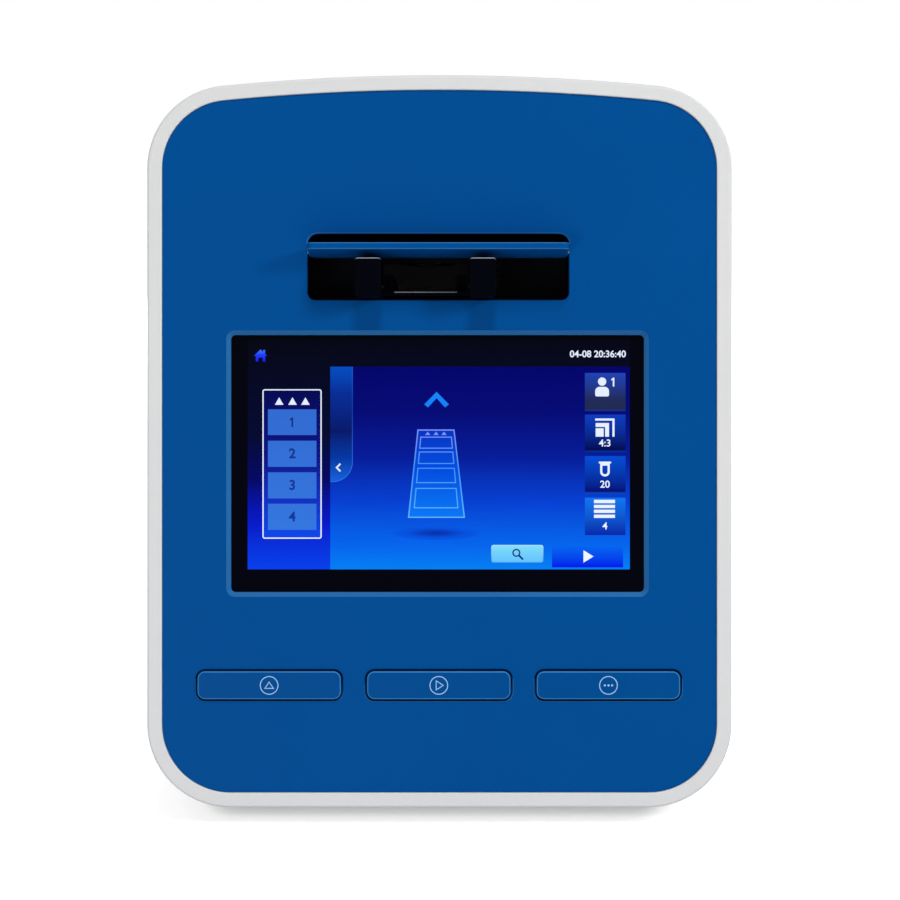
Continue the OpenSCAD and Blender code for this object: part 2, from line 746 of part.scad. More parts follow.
// Moulded tray, drawn ejected: two grooved arms, a bed with a light window, channel rails and ears.
module slide_tray() {
    channel_back = tray_back + 4;
    color(black) on_panel() difference() {
        union() {
            for (s = [-1, 1])
                slab(arm_front, arm_front - arm_l)
                    plate(tray_u + s * (tray_w - arm_w) / 2, tray_floor + arm_h / 2, arm_w, arm_h, 1.2);
            block([tray_u - tray_w / 2 + arm_w - 1, bed_v, bed_front],
                [tray_u + tray_w / 2 - arm_w + 1, bed_top, arm_front - arm_l]);
            block([tray_u - tray_w / 2, bed_v, arm_front - arm_l + 1],
                [tray_u + tray_w / 2, bed_top, tray_back]);
            for (s = [-1, 1])
                block([tray_u + s * slide_w / 2, bed_v, -6],
                    [tray_u + s * (slide_w / 2 + rail_w), bed_top + rail_h, tray_back]);
            block([tray_u - slide_w / 2, bed_v, channel_back],
                [tray_u + slide_w / 2, bed_top + 3, tray_back]);
            for (k = [0, 1]) {
                w0 = ear_back + k * 18;
                ear(rod_left, tray_u - tray_w / 2 + 3, w0);
                ear(rod_right, tray_u + tray_w / 2 - 3, w0);
            }
            block([rod_right, rod_v - 4.2, ear_back], [screw_u, rod_v + 4.2, ear_back + ear_l]);
            bar_w(screw_u, rod_v, ear_back, ear_back + ear_l, nut_flange_d + 2);
        }
        for (s = [-1, 1])
            block([tray_u + s * (tray_w / 2 - arm_w - cut), groove_v, arm_front - 1.6],
                [tray_u + s * (tray_w / 2 - arm_w + groove_d), groove_v + groove_h, arm_front - arm_l - cut]);
        bar_v(tray_u, -optic_w + tray_travel, bed_v - cut, bed_top + cut, window_d);
        for (u = [rod_left, rod_right])
            bar_w(u, rod_v, tray_back - cut, ear_back + 18 + ear_l + cut, rod_d + 2 * run_gap);
        bar_w(screw_u, rod_v, ear_back - cut, ear_back + ear_l + cut, nut_body_d + 2 * seat_gap / 3);
    }
}

// A sliding ear: a round boss on the rod, joined to the tray by a web.
module ear(u, root, w0) {
    bar_w(u, rod_v, w0, w0 + ear_l, rod_d + 6);
    block([u, bed_v, w0], [root, bed_v + 5, w0 + ear_l]);
}

// Flanged nut that presses into the tray's right ear.
module tray_nut() {
    color(brass) on_panel() difference() {
        union() {
            bar_w(screw_u, rod_v, ear_back, ear_back + ear_l + 2, nut_body_d);
            bar_w(screw_u, rod_v, ear_back + ear_l, ear_back + ear_l + 2, nut_flange_d);
        }
        bar_w(screw_u, rod_v, ear_back - cut, ear_back + ear_l + 2 + cut, screw_d + 2 * run_gap);
    }
}

module tray_lead_screw() {
    color(steel) on_panel()
        bar_w(screw_u, rod_v, block_front_w - block_t + 1, block_rear_w - block_t, screw_d);
}

module tray_motor() {
    w0 = block_rear_w - block_t;
    motor_cap = 6;
    color(black) on_panel() {
        slab(w0, w0 - motor_cap) plate(screw_u, rod_v, motor_w, motor_w, 2.4);
        slab(w0 - motor_cap, w0 - motor_l + motor_cap) plate(screw_u, rod_v, motor_w - 0.8, motor_w - 0.8, 4);
        slab(w0 - motor_l + motor_cap, w0 - motor_l) plate(screw_u, rod_v, motor_w, motor_w, 2.4);
    }
}

// Yoke in front: two towers hold the rods and the screw on either side of the passing tray.
module rail_block_front() {
    top = rod_v + 6.5;
    color(metal) on_panel() difference() {
        block([block_left, deck_top, block_front_w], [block_right, top, block_front_w - block_t]);
        block([tray_u - tray_w / 2 - 1.2, tray_floor - 1, block_front_w + cut],
            [tray_u + tray_w / 2 + 1.2, top + cut, block_front_w - block_t - cut]);
        for (u = [rod_left, rod_right])
            bar_w(u, rod_v, block_front_w - 1, block_front_w - block_t - cut, rod_d + 2 * run_gap);
        bar_w(screw_u, rod_v, block_front_w - 1, block_front_w - block_t - cut, screw_d + 2 * run_gap);
    }
}

// Plate at the rear: holds the rods' ends, the screw's bearing and the motor.
module rail_block_rear() {
    top = rod_v + motor_w / 2;
    color(metal) on_panel() difference() {
        union() {
            block([block_left, deck_top, block_rear_w], [block_right, rod_v + 6.5, block_rear_w - block_t]);
            block([screw_u - motor_w / 2, deck_top, block_rear_w],
                  [screw_u + motor_w / 2, top, block_rear_w - block_t]);
        }
        for (u = [rod_left, rod_right])
            bar_w(u, rod_v, block_rear_w + cut, block_rear_w - block_t + 1, rod_d + 2 * run_gap);
        bar_w(screw_u, rod_v, block_rear_w + cut, block_rear_w - block_t - cut, screw_d + 2 * run_gap);
    }
}

module guide_rod(u) {
    color(steel) on_panel() bar_w(u, rod_v, block_front_w - 1, block_rear_w - block_t + 1, rod_d);
}

// ---------------------------------------------------------------- optics

// Machined deck: a flange on the chassis plate, a shelf under the rods and two gusset ribs.
module optics_deck() {
    rear = block_rear_w - block_t;
    flange_h = 30;
    rib_h = flange_h - 2;
    color(metal) on_panel() difference() {
        union() {
            block([deck_left, deck_v, chassis_back], [deck_right, deck_top, rear]);
            block([deck_left, deck_v - flange_h, chassis_back],
                  [deck_right, deck_top, chassis_back - deck_t]);
            for (u = [deck_left, deck_right - deck_t])
                translate([u, 0, 0]) rotate([90, 0, 90]) linear_extrude(deck_t) polygon([
                    [deck_v + 1, chassis_back], [deck_v - rib_h, chassis_back],
                    [deck_v - rib_h, chassis_back - 8], [deck_v - 6, rear + 30], [deck_v + 1, rear + 30]
                ]);
        }
        bar_v(tray_u, -optic_w, deck_v - cut, deck_top + cut, objective_d + 6);
        for (u = [tray_u - 22, tray_u + 22]) translate([u, deck_v - cut, rear + 22]) rotate([-90, 0, 0])
            cylinder(d = 12, h = deck_t + 2 * cut);
    }
}

// Bridge over the tray that holds the lamp above the optical axis.
module lamp_bridge() {
    w0 = -optic_w + bridge_l / 2;
    w1 = -optic_w - bridge_l / 2;
    left = deck_left;
    right = deck_right;
    color(metal) on_panel() difference() {
        union() {
            block([left, bridge_v, w0], [right, bridge_v + bridge_t, w1]);
            block([left, deck_top, w0], [left + 3, bridge_v + bridge_t, w1]);
            block([right, deck_top, w0], [right - 3, bridge_v + bridge_t, w1]);
            bar_v(tray_u, -optic_w, bridge_v - 3, bridge_v + bridge_t, lamp_d + 8);
        }
        bar_v(tray_u, -optic_w, bridge_v - 3 - cut, bridge_v + bridge_t + cut, lamp_d + 0.04);
    }
}

// Lamp housing: a turned barrel with a shoulder that rests on the bridge and cooling fins above.
module lamp_housing() {
    top = bridge_v + bridge_t;
    color(black) on_panel() difference() {
        union() {
            bar_v(tray_u, -optic_w, lamp_v, top + 16, lamp_d);
            bar_v(tray_u, -optic_w, top, top + 2, lamp_d + 6);
            for (i = [0:3]) bar_v(tray_u, -optic_w, top + 4.5 + i * 3, top + 5.9 + i * 3, lamp_d + 6);
        }
        bar_v(tray_u, -optic_w, lamp_v - cut, lamp_v + 3, lamp_d - 5);
        bar_v(tray_u, -optic_w, lamp_v - cut, lamp_v + 12, lamp_d - 9);
    }
}

// Plano-convex lens in the mouth of the lamp housing.
module condenser_lens() {
    r = (lamp_d - 5) / 2 - 0.05;
    color("white") on_panel() translate([tray_u, lamp_v, -optic_w]) rotate([-90, 0, 0])
        rotate_extrude() polygon(concat(
            [[0, 3], [r, 3]],
            [for (i = [0:6]) let (x = r * (1 - i / 6)) [x, 1.2 - 1.2 * (1 - pow(x / r, 2))]]
        ));
}

// Hanging frame of the focus stage: a back plate, a top flange and a foot for rods and motor.
module focus_frame() {
    back = focus_plate_w - focus_plate_t;
    half = focus_rod_x + 8;
    color(metal) on_panel() difference() {
        union() {
            block([tray_u - half, focus_floor - 4, focus_plate_w], [tray_u + half, deck_v, back]);
            block([tray_u - half, focus_floor - 4, focus_w + 8], [tray_u + half, focus_floor, back]);
            block([tray_u - half, deck_v - 4, focus_w + 6], [tray_u + half, deck_v, back]);
        }
        for (s = [-1, 1])
            bar_v(tray_u + s * focus_rod_x, focus_w, focus_floor - 2, deck_v - 1, focus_rod_d + 2 * run_gap);
        bar_v(tray_u, focus_w, focus_floor - 4 - cut, deck_v - 1, focus_screw_d + 2 * run_gap);
    }
}

module focus_rod(s) {
    color(steel) on_panel()
        bar_v(tray_u + s * focus_rod_x, focus_w, focus_floor - 2, deck_v - 1, focus_rod_d);
}

module focus_lead_screw() {
    color(steel) on_panel() bar_v(tray_u, focus_w, focus_floor - 4, deck_v - 1, focus_screw_d);
}

module focus_motor() {
    v1 = focus_floor - 4;
    color(black) on_panel() {
        bar_v(tray_u, focus_w, v1 - focus_motor_l, v1, focus_motor_d);
        block([tray_u - 10, v1 - 1, focus_w - 3], [tray_u + 10, v1, focus_w + 3]);
    }
}

// Carriage: a clamp ring around the camera tube and a block that runs on the focus rods.
module focus_carriage() {
    v1 = carriage_v + carriage_h;
    color(metal) on_panel() difference() {
        union() {
            bar_v(tray_u, -optic_w, carriage_v, v1, tube_d + 8);
            block([tray_u - focus_rod_x - 6, carriage_v, -optic_w - tube_d / 2 + 1],
                [tray_u + focus_rod_x + 6, v1, focus_w - 4.5]);
        }
        bar_v(tray_u, -optic_w, carriage_v - cut, v1 + cut, tube_d + 0.04);
        for (s = [-1, 1])
            bar_v(tray_u + s * focus_rod_x, focus_w, carriage_v - cut, v1 + cut, focus_rod_d + 2 * run_gap);
        bar_v(tray_u, focus_w, carriage_v - cut, v1 + cut, focus_screw_d + 2 * run_gap);
    }
}

// Objective: a stepped barrel that narrows to its front lens.
module objective() {
    color(metal) on_panel() translate([tray_u, tube_v, -optic_w]) rotate([-90, 0, 0])
        rotate_extrude() polygon([
            [0, 0], [objective_d / 2, 0], [objective_d / 2, objective_l - 12],
            [objective_d / 2 - 1, objective_l - 11], [objective_d / 2 - 1, objective_l - 7],
            [objective_d / 4, objective_l], [objective_d / 5, objective_l],
            [objective_d / 5 - 0.6, objective_l - 0.8], [0, objective_l - 0.8]
        ]);
}

module camera_tube() {
    color(black) on_panel() difference() {
        bar_v(tray_u, -optic_w, tube_v - tube_l, tube_v, tube_d);
        bar_v(tray_u, -optic_w, tube_v - tube_l - cut, tube_v - 4, tube_d - 4);
        bar_v(tray_u, -optic_w, tube_v - 5, tube_v + cut, objective_d - 6);
    }
}

module camera_board() {
    v0 = tube_v - tube_l;
    half = tube_d / 2 + 2;
    color(green) on_panel() {
        block([tray_u - half, v0 - pcb_t, -optic_w - half], [tray_u + half, v0, -optic_w + half]);
        block([tray_u - 5, v0, -optic_w - 5], [tray_u + 5, v0 + 2, -optic_w + 5]);
        block([tray_u - 8, v0 - pcb_t - 3, -optic_w + 4], [tray_u + 8, v0 - pcb_t, -optic_w + 9]);
    }
}

// ---------------------------------------------------------------- electronics

module main_board() {
    y0 = board_y - board_l;
    color(green) {
        translate([-board_w / 2, y0, board_z]) difference() {
            cube([board_w, board_l, pcb_t]);
            for (x = [6, board_w - 6], y = [6, board_l - 6])
                translate([x, y, -cut]) cylinder(d = 3.2, h = pcb_t + 2 * cut);
        }
        translate([-14, y0 + 30, board_top]) cube([28, 28, 2.4]);
        translate([-10, y0 + 34, board_top + 2.4]) cube([20, 20, 6]);
        for (i = [0:3]) translate([-50, y0 + 24 + i * 12, board_top]) cube([18, 8, 1.4]);
        for (i = [0:2]) translate([44 + i * 11, y0 + 22, board_top]) cylinder(d = 8, h = 11);
        translate([-18, y0 + 3, board_top]) cube([24, 5, 5]);
    }
}

module board_standoffs() {
    y0 = board_y - board_l;
    color(brass) for (x = [6 - board_w / 2, board_w / 2 - 6], y = [y0 + 6, y0 + board_l - 6])
        translate([x, y, sheet_top]) {
            cylinder(d = 6.4, h = standoff_h, $fn = 6);
            cylinder(d = 3, h = standoff_h + pcb_t);
            translate([0, 0, standoff_h + pcb_t]) cylinder(d = 5.5, h = 1.6);
        }
}

// Flat cable from the display down to the main board, held in its connectors at both ends.
module display_ribbon() {
    y0 = board_y - board_l + 5.5;
    y1 = yz(ribbon_v, chassis_back)[0];
    z1 = yz(ribbon_v, chassis_back)[1];
    z0 = board_top + 5;
    r = 8;
    t = 0.5;
    color([0.80, 0.80, 0.78]) translate([-16, 0, 0]) rotate([90, 0, 90]) linear_extrude(ribbon_w)
        polygon(concat(
            [[y1, z1 - 1], [y1, z1 - 1 + t]],
            arc(y0 - r + t / 2, z1 - 1 - r + t, r, 90, 0, 8),
            [[y0 + t / 2, z0], [y0 - t / 2, z0]],
            arc(y0 - r + t / 2, z1 - 1 - r + t, r - t, 0, 90, 8)
        ));
}

// Barrel socket with its centre pin.
module dc_jack() {
    y0 = board_y - 4;
    z = board_top + 5.5;
    color(black) {
        difference() {
            union() {
                translate([jack_x - 4.5, y0, board_top]) cube([9, wall_y - sheet_t - 0.1 - y0, 10.5]);
                translate([jack_x, y0, z]) rotate([-90, 0, 0]) cylinder(d = 8.8, h = rear_y - 0.4 - y0);
            }
            translate([jack_x, y0 + 3, z]) rotate([-90, 0, 0]) cylinder(d = 6.3, h = rear_y - y0);
        }
        translate([jack_x, y0 + 2, z]) rotate([-90, 0, 0]) cylinder(d = 2, h = rear_y - 2.4 - y0);
    }
}

// Two flat serial-bus sockets, each a folded metal shell around a tongue.
module usb_ports() {
    y0 = board_y - 4;
    color(metal) for (s = [-1, 1]) translate([usb_x + s * usb_pitch / 2, 0, board_top]) {
        difference() {
            translate([-6.6, y0, 0.2]) cube([13.2, rear_y - 0.5 - y0, 6.4]);
            translate([-6.1, y0 + 2, 0.7]) cube([12.2, rear_y - y0, 5.4]);
        }
        translate([-5.6, y0 + 1, 4.1]) cube([11.2, rear_y - 2.5 - y0, 1.8]);
        translate([-6.6, y0, 0]) cube([13.2, board_y - y0, 0.4]);
    }
}

// Snap-in switch body with a flange on the back wall.
module rocker_housing() {
    color(black) translate([rocker_x, 0, rocker_z]) difference() {
        union() {
            translate([-10.5, rear_y, -7.2]) cube([21, 1.4, 14.4]);
            translate([-9.5, rear_y - 13, -6.3]) cube([19, 13 + cut, 12.6]);
        }
        translate([-8.2, rear_y - 7.5, -5]) cube([16.4, 12, 10]);
        translate([0, rear_y - 1, -6.2]) cylinder(d = 2 + 2 * run_gap, h = 12.4);
    }
}

// Rocker cap on its cross pin, drawn switched on: it turns about an upright pin.
module power_rocker() {
    color(black) translate([rocker_x, rear_y - 1, rocker_z]) {
        rotate([0, 0, 6]) translate([0, 0, -4.7]) linear_extrude(9.4) polygon([
            [-7.2, 1.2], [-6.6, 3.2], [0, 2], [6.6, 3.2], [7.2, 1.2], [3.4, -4], [-3.4, -4]
        ]);
        translate([0, 0, -6.1]) cylinder(d = 2, h = 12.2);
    }
}

front_frame();
front_panel();
rear_housing();
base_chassis();
foot(foot_points()[0]);  // foot_front_left
foot(foot_points()[1]);  // foot_front_right
foot(foot_points()[2]);  // foot_rear_left
foot(foot_points()[3]);  // foot_rear_right
foot_screws();
rear_screws();
chassis_plate();
chassis_screws();
chassis_spacers();
touch_glass();
lcd_module();
button(button_u(-1));  // eject_button
button(button_u(0));  // start_button
button(button_u(1));  // function_button
button_board();
port_liner();
port_door();
door_pin();
slide_tray();
tray_nut();
tray_lead_screw();
tray_motor();
rail_block_front();
rail_block_rear();
guide_rod(rod_left);  // guide_rod_left
guide_rod(rod_right);  // guide_rod_right
optics_deck();
lamp_bridge();
lamp_housing();
condenser_lens();
focus_frame();
focus_rod(-1);  // focus_rod_left
focus_rod(1);  // focus_rod_right
focus_lead_screw();
focus_motor();
focus_carriage();
objective();
camera_tube();
camera_board();
main_board();
board_standoffs();
display_ribbon();
dc_jack();
usb_ports();
rocker_housing();
power_rocker();
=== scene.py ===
"""Looks of an automated cell counter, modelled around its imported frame.

Sizes are millimetres. Most pieces are modelled in the panel's own frame: u to the right, v up the
leaning panel and w out of it, with w = 0 on the face of the pale band. The rest use the body's
frame: x to the right, y to the back and z up. A piece becomes metres when it is set in place.
"""

import logging
import math
from collections.abc import Callable, Sequence
from dataclasses import dataclass, field
from enum import Enum
from typing import ClassVar

import bmesh
import bpy
from mathutils import Matrix, Vector


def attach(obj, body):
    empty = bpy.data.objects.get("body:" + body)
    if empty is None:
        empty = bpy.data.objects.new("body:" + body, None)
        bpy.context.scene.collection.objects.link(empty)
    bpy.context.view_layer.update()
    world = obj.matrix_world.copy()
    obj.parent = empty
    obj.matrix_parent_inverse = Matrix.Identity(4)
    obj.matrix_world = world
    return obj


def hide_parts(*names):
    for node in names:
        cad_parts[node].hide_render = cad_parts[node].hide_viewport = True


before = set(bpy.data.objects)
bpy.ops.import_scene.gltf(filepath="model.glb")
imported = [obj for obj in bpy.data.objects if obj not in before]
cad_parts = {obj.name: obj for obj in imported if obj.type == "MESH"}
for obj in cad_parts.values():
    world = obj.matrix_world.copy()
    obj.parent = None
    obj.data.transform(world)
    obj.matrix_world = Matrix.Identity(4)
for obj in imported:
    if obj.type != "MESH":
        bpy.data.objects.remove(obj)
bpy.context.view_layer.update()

LOG = logging.getLogger("cell_counter")

MM = 0.001
LEAN = math.radians(10.0)
QUARTER = math.pi / 2
# Vertices this near to a level count as lying on it.
SLACK = 1e-3
# Cutters stand out this far past what they cut.
OVER = 1.0
SIDES = (-1, 1)
FOOT_H = 4.0
BODY_DEPTH = 210.0
BODY_H = 291.2
FRAME_DEPTH = 26.0
FRONT_EDGE_R = 1.0
REAR_Y = 102.1
REAR_SCREW = (75.2, 33.9)
HINGE = (75.2, -2.604)
PIN_BORE_R = 0.75
KEY_V = -97.0
KEY_SIZE = (57.0, 11.1)
KEY_R = 3.0
PANEL_ORIGIN = Vector(
    (
        0.0,
        -BODY_DEPTH / 2
        + (BODY_H / 2 - FRONT_EDGE_R) * math.sin(LEAN)
        + FRONT_EDGE_R * (1 - math.cos(LEAN)),
        FOOT_H + BODY_H / 2 * math.cos(LEAN) + FRAME_DEPTH * math.sin(LEAN),
    )
)
SPLIT_Y = PANEL_ORIGIN.y - BODY_H / 2 * math.sin(LEAN) + FRAME_DEPTH * math.cos(LEAN)
BODY = Matrix.Scale(MM, 4)
PANEL = BODY @ Matrix.Translation(PANEL_ORIGIN) @ Matrix.Rotation(QUARTER - LEAN, 4, "X")

Point = tuple[float, float]


# ---------------------------------------------------------------- modelling by hand


class Element(Enum):
    """What an edit-mode selection is made of."""

    VERTEX = "VERT"
    EDGE = "EDGE"
    FACE = "FACE"


@dataclass(frozen=True)
class Line:
    """A straight stroke of an outline.

    Args:
        end: where the stroke ends.
    """

    end: Point


@dataclass(frozen=True)
class Arc:
    """A round stroke of an outline, anticlockwise where its angle is positive.

    Args:
        centre: centre of the arc.
        angle: angle that it turns through, in radians.
        steps: number of straight pieces that it is drawn with.
    """

    centre: Point
    angle: float
    steps: int


@dataclass(frozen=True)
class Path:
    """A closed outline: a starting point and the strokes that lead back to it."""

    start: Point
    strokes: tuple[Line | Arc, ...]


def rest_hands() -> None:
    """Leaves edit mode and deselects every object."""
    if bpy.context.mode != "OBJECT":
        bpy.ops.object.mode_set(mode="OBJECT")
    bpy.ops.object.select_all(action="DESELECT")


def lies_at(edge: bmesh.types.BMEdge, level: float, axis: int = 2) -> bool:
    """Whether both ends of an edge lie at one level of an axis."""
    return all(abs(v.co[axis] - level) < SLACK for v in edge.verts)


class Piece:
    """One mesh under the modeller's hands.

    Args:
        name: name of the object and its mesh.
        obj: the object that the piece shapes; by default, the active one.
    """

    def __init__(self, name: str, obj: bpy.types.Object | None = None) -> None:
        self.obj = obj or bpy.context.object
        self.rename(name)

    def rename(self, name: str) -> None:
        """Names the object and its mesh."""
        self.obj.name = self.obj.data.name = name

    def hold(self) -> None:
        """Makes the piece the only selected object, and the active one."""
        rest_hands()
        self.obj.select_set(True)
        bpy.context.view_layer.objects.active = self.obj

    def apply_place(self) -> None:
        """Puts the object's place, turn and scale into its mesh."""
        self.hold()
        bpy.ops.object.transform_apply(location=True, rotation=True, scale=True)

    def edit(self, kind: Element = Element.FACE, everything: bool = False) -> None:
        """Enters edit mode on the piece, with all of one kind of element selected, or none."""
        self.hold()
        bpy.ops.object.mode_set(mode="EDIT")
        bpy.ops.mesh.select_mode(type=kind.value)
        bpy.ops.mesh.select_all(action="SELECT" if everything else "DESELECT")

    def pick(self, test: Callable[[bmesh.types.BMEdge], bool]) -> None:
        """Enters edit mode and selects the edges that pass a test."""
        self.edit(Element.EDGE)
        mesh = bmesh.from_edit_mesh(self.obj.data)
        for edge in mesh.edges:
            if test(edge):
                edge.select_set(True)
        mesh.select_flush_mode()
        bmesh.update_edit_mesh(self.obj.data)

    def pick_rim(self, level: float, axis: int = 2, sharp: float = QUARTER / 2) -> None:
        """Selects the edges at one level that turn by more than an angle."""
        self.pick(lambda edge: lies_at(edge, level, axis) and edge.calc_face_angle(0.0) > sharp)

    def extrude(self, rise: float) -> None:
        """Extrudes the selected faces up and closes the piece."""
        bpy.ops.mesh.extrude_region_move(TRANSFORM_OT_translate={"value": (0.0, 0.0, rise)})
        self.outward()

    def bevel(self, width: float, segments: int, painted_highlight: bool = False) -> None:
        """Rounds the selected edges, or chamfers them where there is one segment.

        Args:
            width: width of the rounding.
            segments: its faces across.
            painted_highlight: whether those faces take the piece's painted highlight finish.
        """
        if painted_highlight:
            self.allow_painted_highlight()
        bpy.ops.mesh.bevel(
            offset=width,
            segments=segments,
            profile=0.5,
            affect="EDGES",
            clamp_overlap=True,
            material=1 if painted_highlight else -1,
        )
        rest_hands()

    def allow_painted_highlight(self) -> None:
        """Gives the mesh a second slot, so that faces can be marked for a painted highlight."""
        while len(self.obj.data.materials) < 2:
            self.obj.data.materials.append(None)

    def modify(self, kind: str, **settings: object) -> None:
        """Adds a modifier with settings by name, and applies it."""
        self.hold()
        modifier = self.obj.modifiers.new(kind.title(), kind)
        for key, value in settings.items():
            setattr(modifier, key, value)
        bpy.ops.object.modifier_apply(modifier=modifier.name)

    def cut(self, *tools: "Piece") -> "Piece":
        """Cuts closed pieces out of this one, and uses them up."""
        return self._combine("DIFFERENCE", tools)

    def fuse(self, *others: "Piece") -> "Piece":
        """Fuses closed pieces into this one, and uses them up."""
        return self._combine("UNION", others)

    def _combine(self, operation: str, others: Sequence["Piece"]) -> "Piece":
        """Cuts or fuses closed pieces one after another."""
        for piece in (*others, self):
            piece.outward()
        for other in others:
            self.modify("BOOLEAN", operation=operation, object=other.obj, solver="EXACT")
            bpy.data.objects.remove(other.obj)
        return self

    def join(self, *others: "Piece") -> "Piece":
        """Joins separate pieces into this one object, as they are."""
        self.hold()
        for other in others:
            other.obj.select_set(True)
        if others:
            bpy.ops.object.join()
        return self

    def outward(self) -> None:
        """Merges doubles and turns every face outwards."""
        self.edit(everything=True)
        bpy.ops.mesh.remove_doubles(threshold=1e-6)
        bpy.ops.mesh.normals_make_consistent(inside=False)
        bpy.ops.object.mode_set(mode="OBJECT")

    def settle(self, place: Matrix) -> "Piece":
        """Moves the finished piece from the frame that it was modelled in to its place."""
        self.hold()
        self.obj.matrix_world = place @ self.obj.matrix_world
        self.apply_place()
        return self

    def shade(self, angle: float = math.radians(32.0)) -> "Piece":
        """Turns faces outwards, smooths shading below an angle and keeps flat faces flat."""
        self.edit(everything=True)
        bpy.ops.mesh.normals_make_consistent(inside=False)
        self.hold()
        bpy.ops.object.shade_smooth_by_angle(angle=angle, keep_sharp_edges=True)
        self.modify("WEIGHTED_NORMAL", keep_sharp=True, weight=50)
        return self

    def copy(self, name: str) -> "Piece":
        """Copies the piece with a mesh of its own."""
        twin = self.obj.copy()
        twin.data = self.obj.data.copy()
        bpy.context.scene.collection.objects.link(twin)
        return Piece(name, twin)


def outline(name: str, path: Path, depth: float, filled: bool = True) -> Piece:
    """Draws a closed outline from one dot, stroke by stroke.

    Args:
        name: name of the piece.
        path: the outline.
        depth: its depth along the third axis.
        filled: whether a face fills it.

    Returns:
        The outline as a flat piece.
    """
    rest_hands()
    bpy.ops.mesh.primitive_plane_add(size=1.0, location=(*path.start, depth))
    piece = Piece(name)
    piece.apply_place()
    piece.edit(Element.VERTEX, everything=True)
    bpy.ops.mesh.merge(type="CENTER")
    tip = path.start
    for stroke in path.strokes:
        if isinstance(stroke, Line):
            step = (stroke.end[0] - tip[0], stroke.end[1] - tip[1], 0.0)
            bpy.ops.mesh.extrude_vertices_move(TRANSFORM_OT_translate={"value": step})
            tip = stroke.end
        else:
            centre, turn = Vector(stroke.centre), Matrix.Rotation(stroke.angle, 2)
            bpy.ops.mesh.spin(
                steps=stroke.steps, angle=-stroke.angle, center=(*stroke.centre, depth), axis=(0, 0, 1)
            )
            tip = tuple(centre + turn @ (Vector(tip) - centre))
    bpy.ops.mesh.select_all(action="SELECT")
    bpy.ops.mesh.remove_doubles(threshold=0.015)
    if filled:
        bpy.ops.mesh.edge_face_add()
    return piece


def solid(name: str, path: Path, low: float, high: float) -> Piece:
    """Draws an outline and extrudes it between two depths."""
    piece = outline(name, path, low)
    piece.extrude(high - low)
    return piece


def ring(name: str, path: Path, wall: float, low: float, high: float) -> Piece:
    """Draws a filled outline, insets it by a wall, opens its middle and extrudes what is left."""
    piece = outline(name, path, low)
    bpy.ops.mesh.select_mode(type="FACE")
    bpy.ops.mesh.select_all(action="SELECT")
    bpy.ops.mesh.inset(thickness=wall, use_even_offset=True)
    bpy.ops.mesh.delete(type="FACE")
    bpy.ops.mesh.select_all(action="SELECT")
    piece.extrude(high - low)
    return piece


def rounded(low: Point, high: Point, radius: float, steps: int = 8, lower: float = -1.0) -> Path:
    """A rectangle with rounded corners.

    Args:
        low: its lower left corner.
        high: its upper right corner.
        radius: radius of its corners.
        steps: straight pieces in a corner.
        lower: radius of the two lower corners, where it differs.

    Returns:
        The closed path.
    """
    base = radius if lower < 0.0 else lower
    (x0, y0), (x1, y1) = low, high
    return Path(
        (x1 - base, y0),
        (
            Arc((x1 - base, y0 + base), QUARTER, steps),
            Line((x1, y1 - radius)),
            Arc((x1 - radius, y1 - radius), QUARTER, steps),
            Line((x0 + radius, y1)),
            Arc((x0 + radius, y1 - radius), QUARTER, steps),
            Line((x0, y0 + base)),
            Arc((x0 + base, y0 + base), QUARTER, steps),
            Line((x1 - base, y0)),
        ),
    )


def centred(centre: Point, width: float, height: float, radius: float, steps: int = 8) -> Path:
    """A rounded rectangle about a centre."""
    (x, y), w, h = centre, width / 2, height / 2
    return rounded((x - w, y - h), (x + w, y + h), radius, steps)


def polygon(points: Sequence[Point]) -> Path:
    """A closed path of straight strokes through points."""
    return Path(points[0], tuple(Line(p) for p in (*points[1:], points[0])))


def circle(centre: Point, radius: float, steps: int = 32) -> Path:
    """A closed circle."""
    return Path((centre[0] + radius, centre[1]), (Arc(centre, 2 * math.pi, steps),))


def block(name: str, start: Sequence[float], end: Sequence[float]) -> Piece:
    """A box between two opposite corners."""
    rest_hands()
    low, high = zip(*(sorted(pair) for pair in zip(start, end)))
    middle = [(a + b) / 2 for a, b in zip(low, high)]
    size = [b - a for a, b in zip(low, high)]
    bpy.ops.mesh.primitive_cube_add(size=1.0, location=middle, scale=size)
    piece = Piece(name)
    piece.apply_place()
    return piece


def bar(
    name: str, start: Sequence[float], end: Sequence[float], radius: float, steps: int = 48
) -> Piece:
    """A round bar between two points."""
    rest_hands()
    a, b = Vector(start), Vector(end)
    turn = (b - a).to_track_quat("Z", "Y").to_euler()
    bpy.ops.mesh.primitive_cylinder_add(
        radius=radius, depth=(b - a).length, vertices=steps, location=(a + b) / 2, rotation=turn
    )
    piece = Piece(name)
    piece.apply_place()
    return piece


# ---------------------------------------------------------------- finishes


def linear(hex_colour: str) -> tuple[float, float, float, float]:
    """Turns an sRGB hex colour into the linear colour that the shader reads."""
    channels = [int(hex_colour[i : i + 2], 16) / 255 for i in (1, 3, 5)]
    values = [c / 12.92 if c <= 0.04045 else ((c + 0.055) / 1.055) ** 2.4 for c in channels]
    return (*values, 1.0)


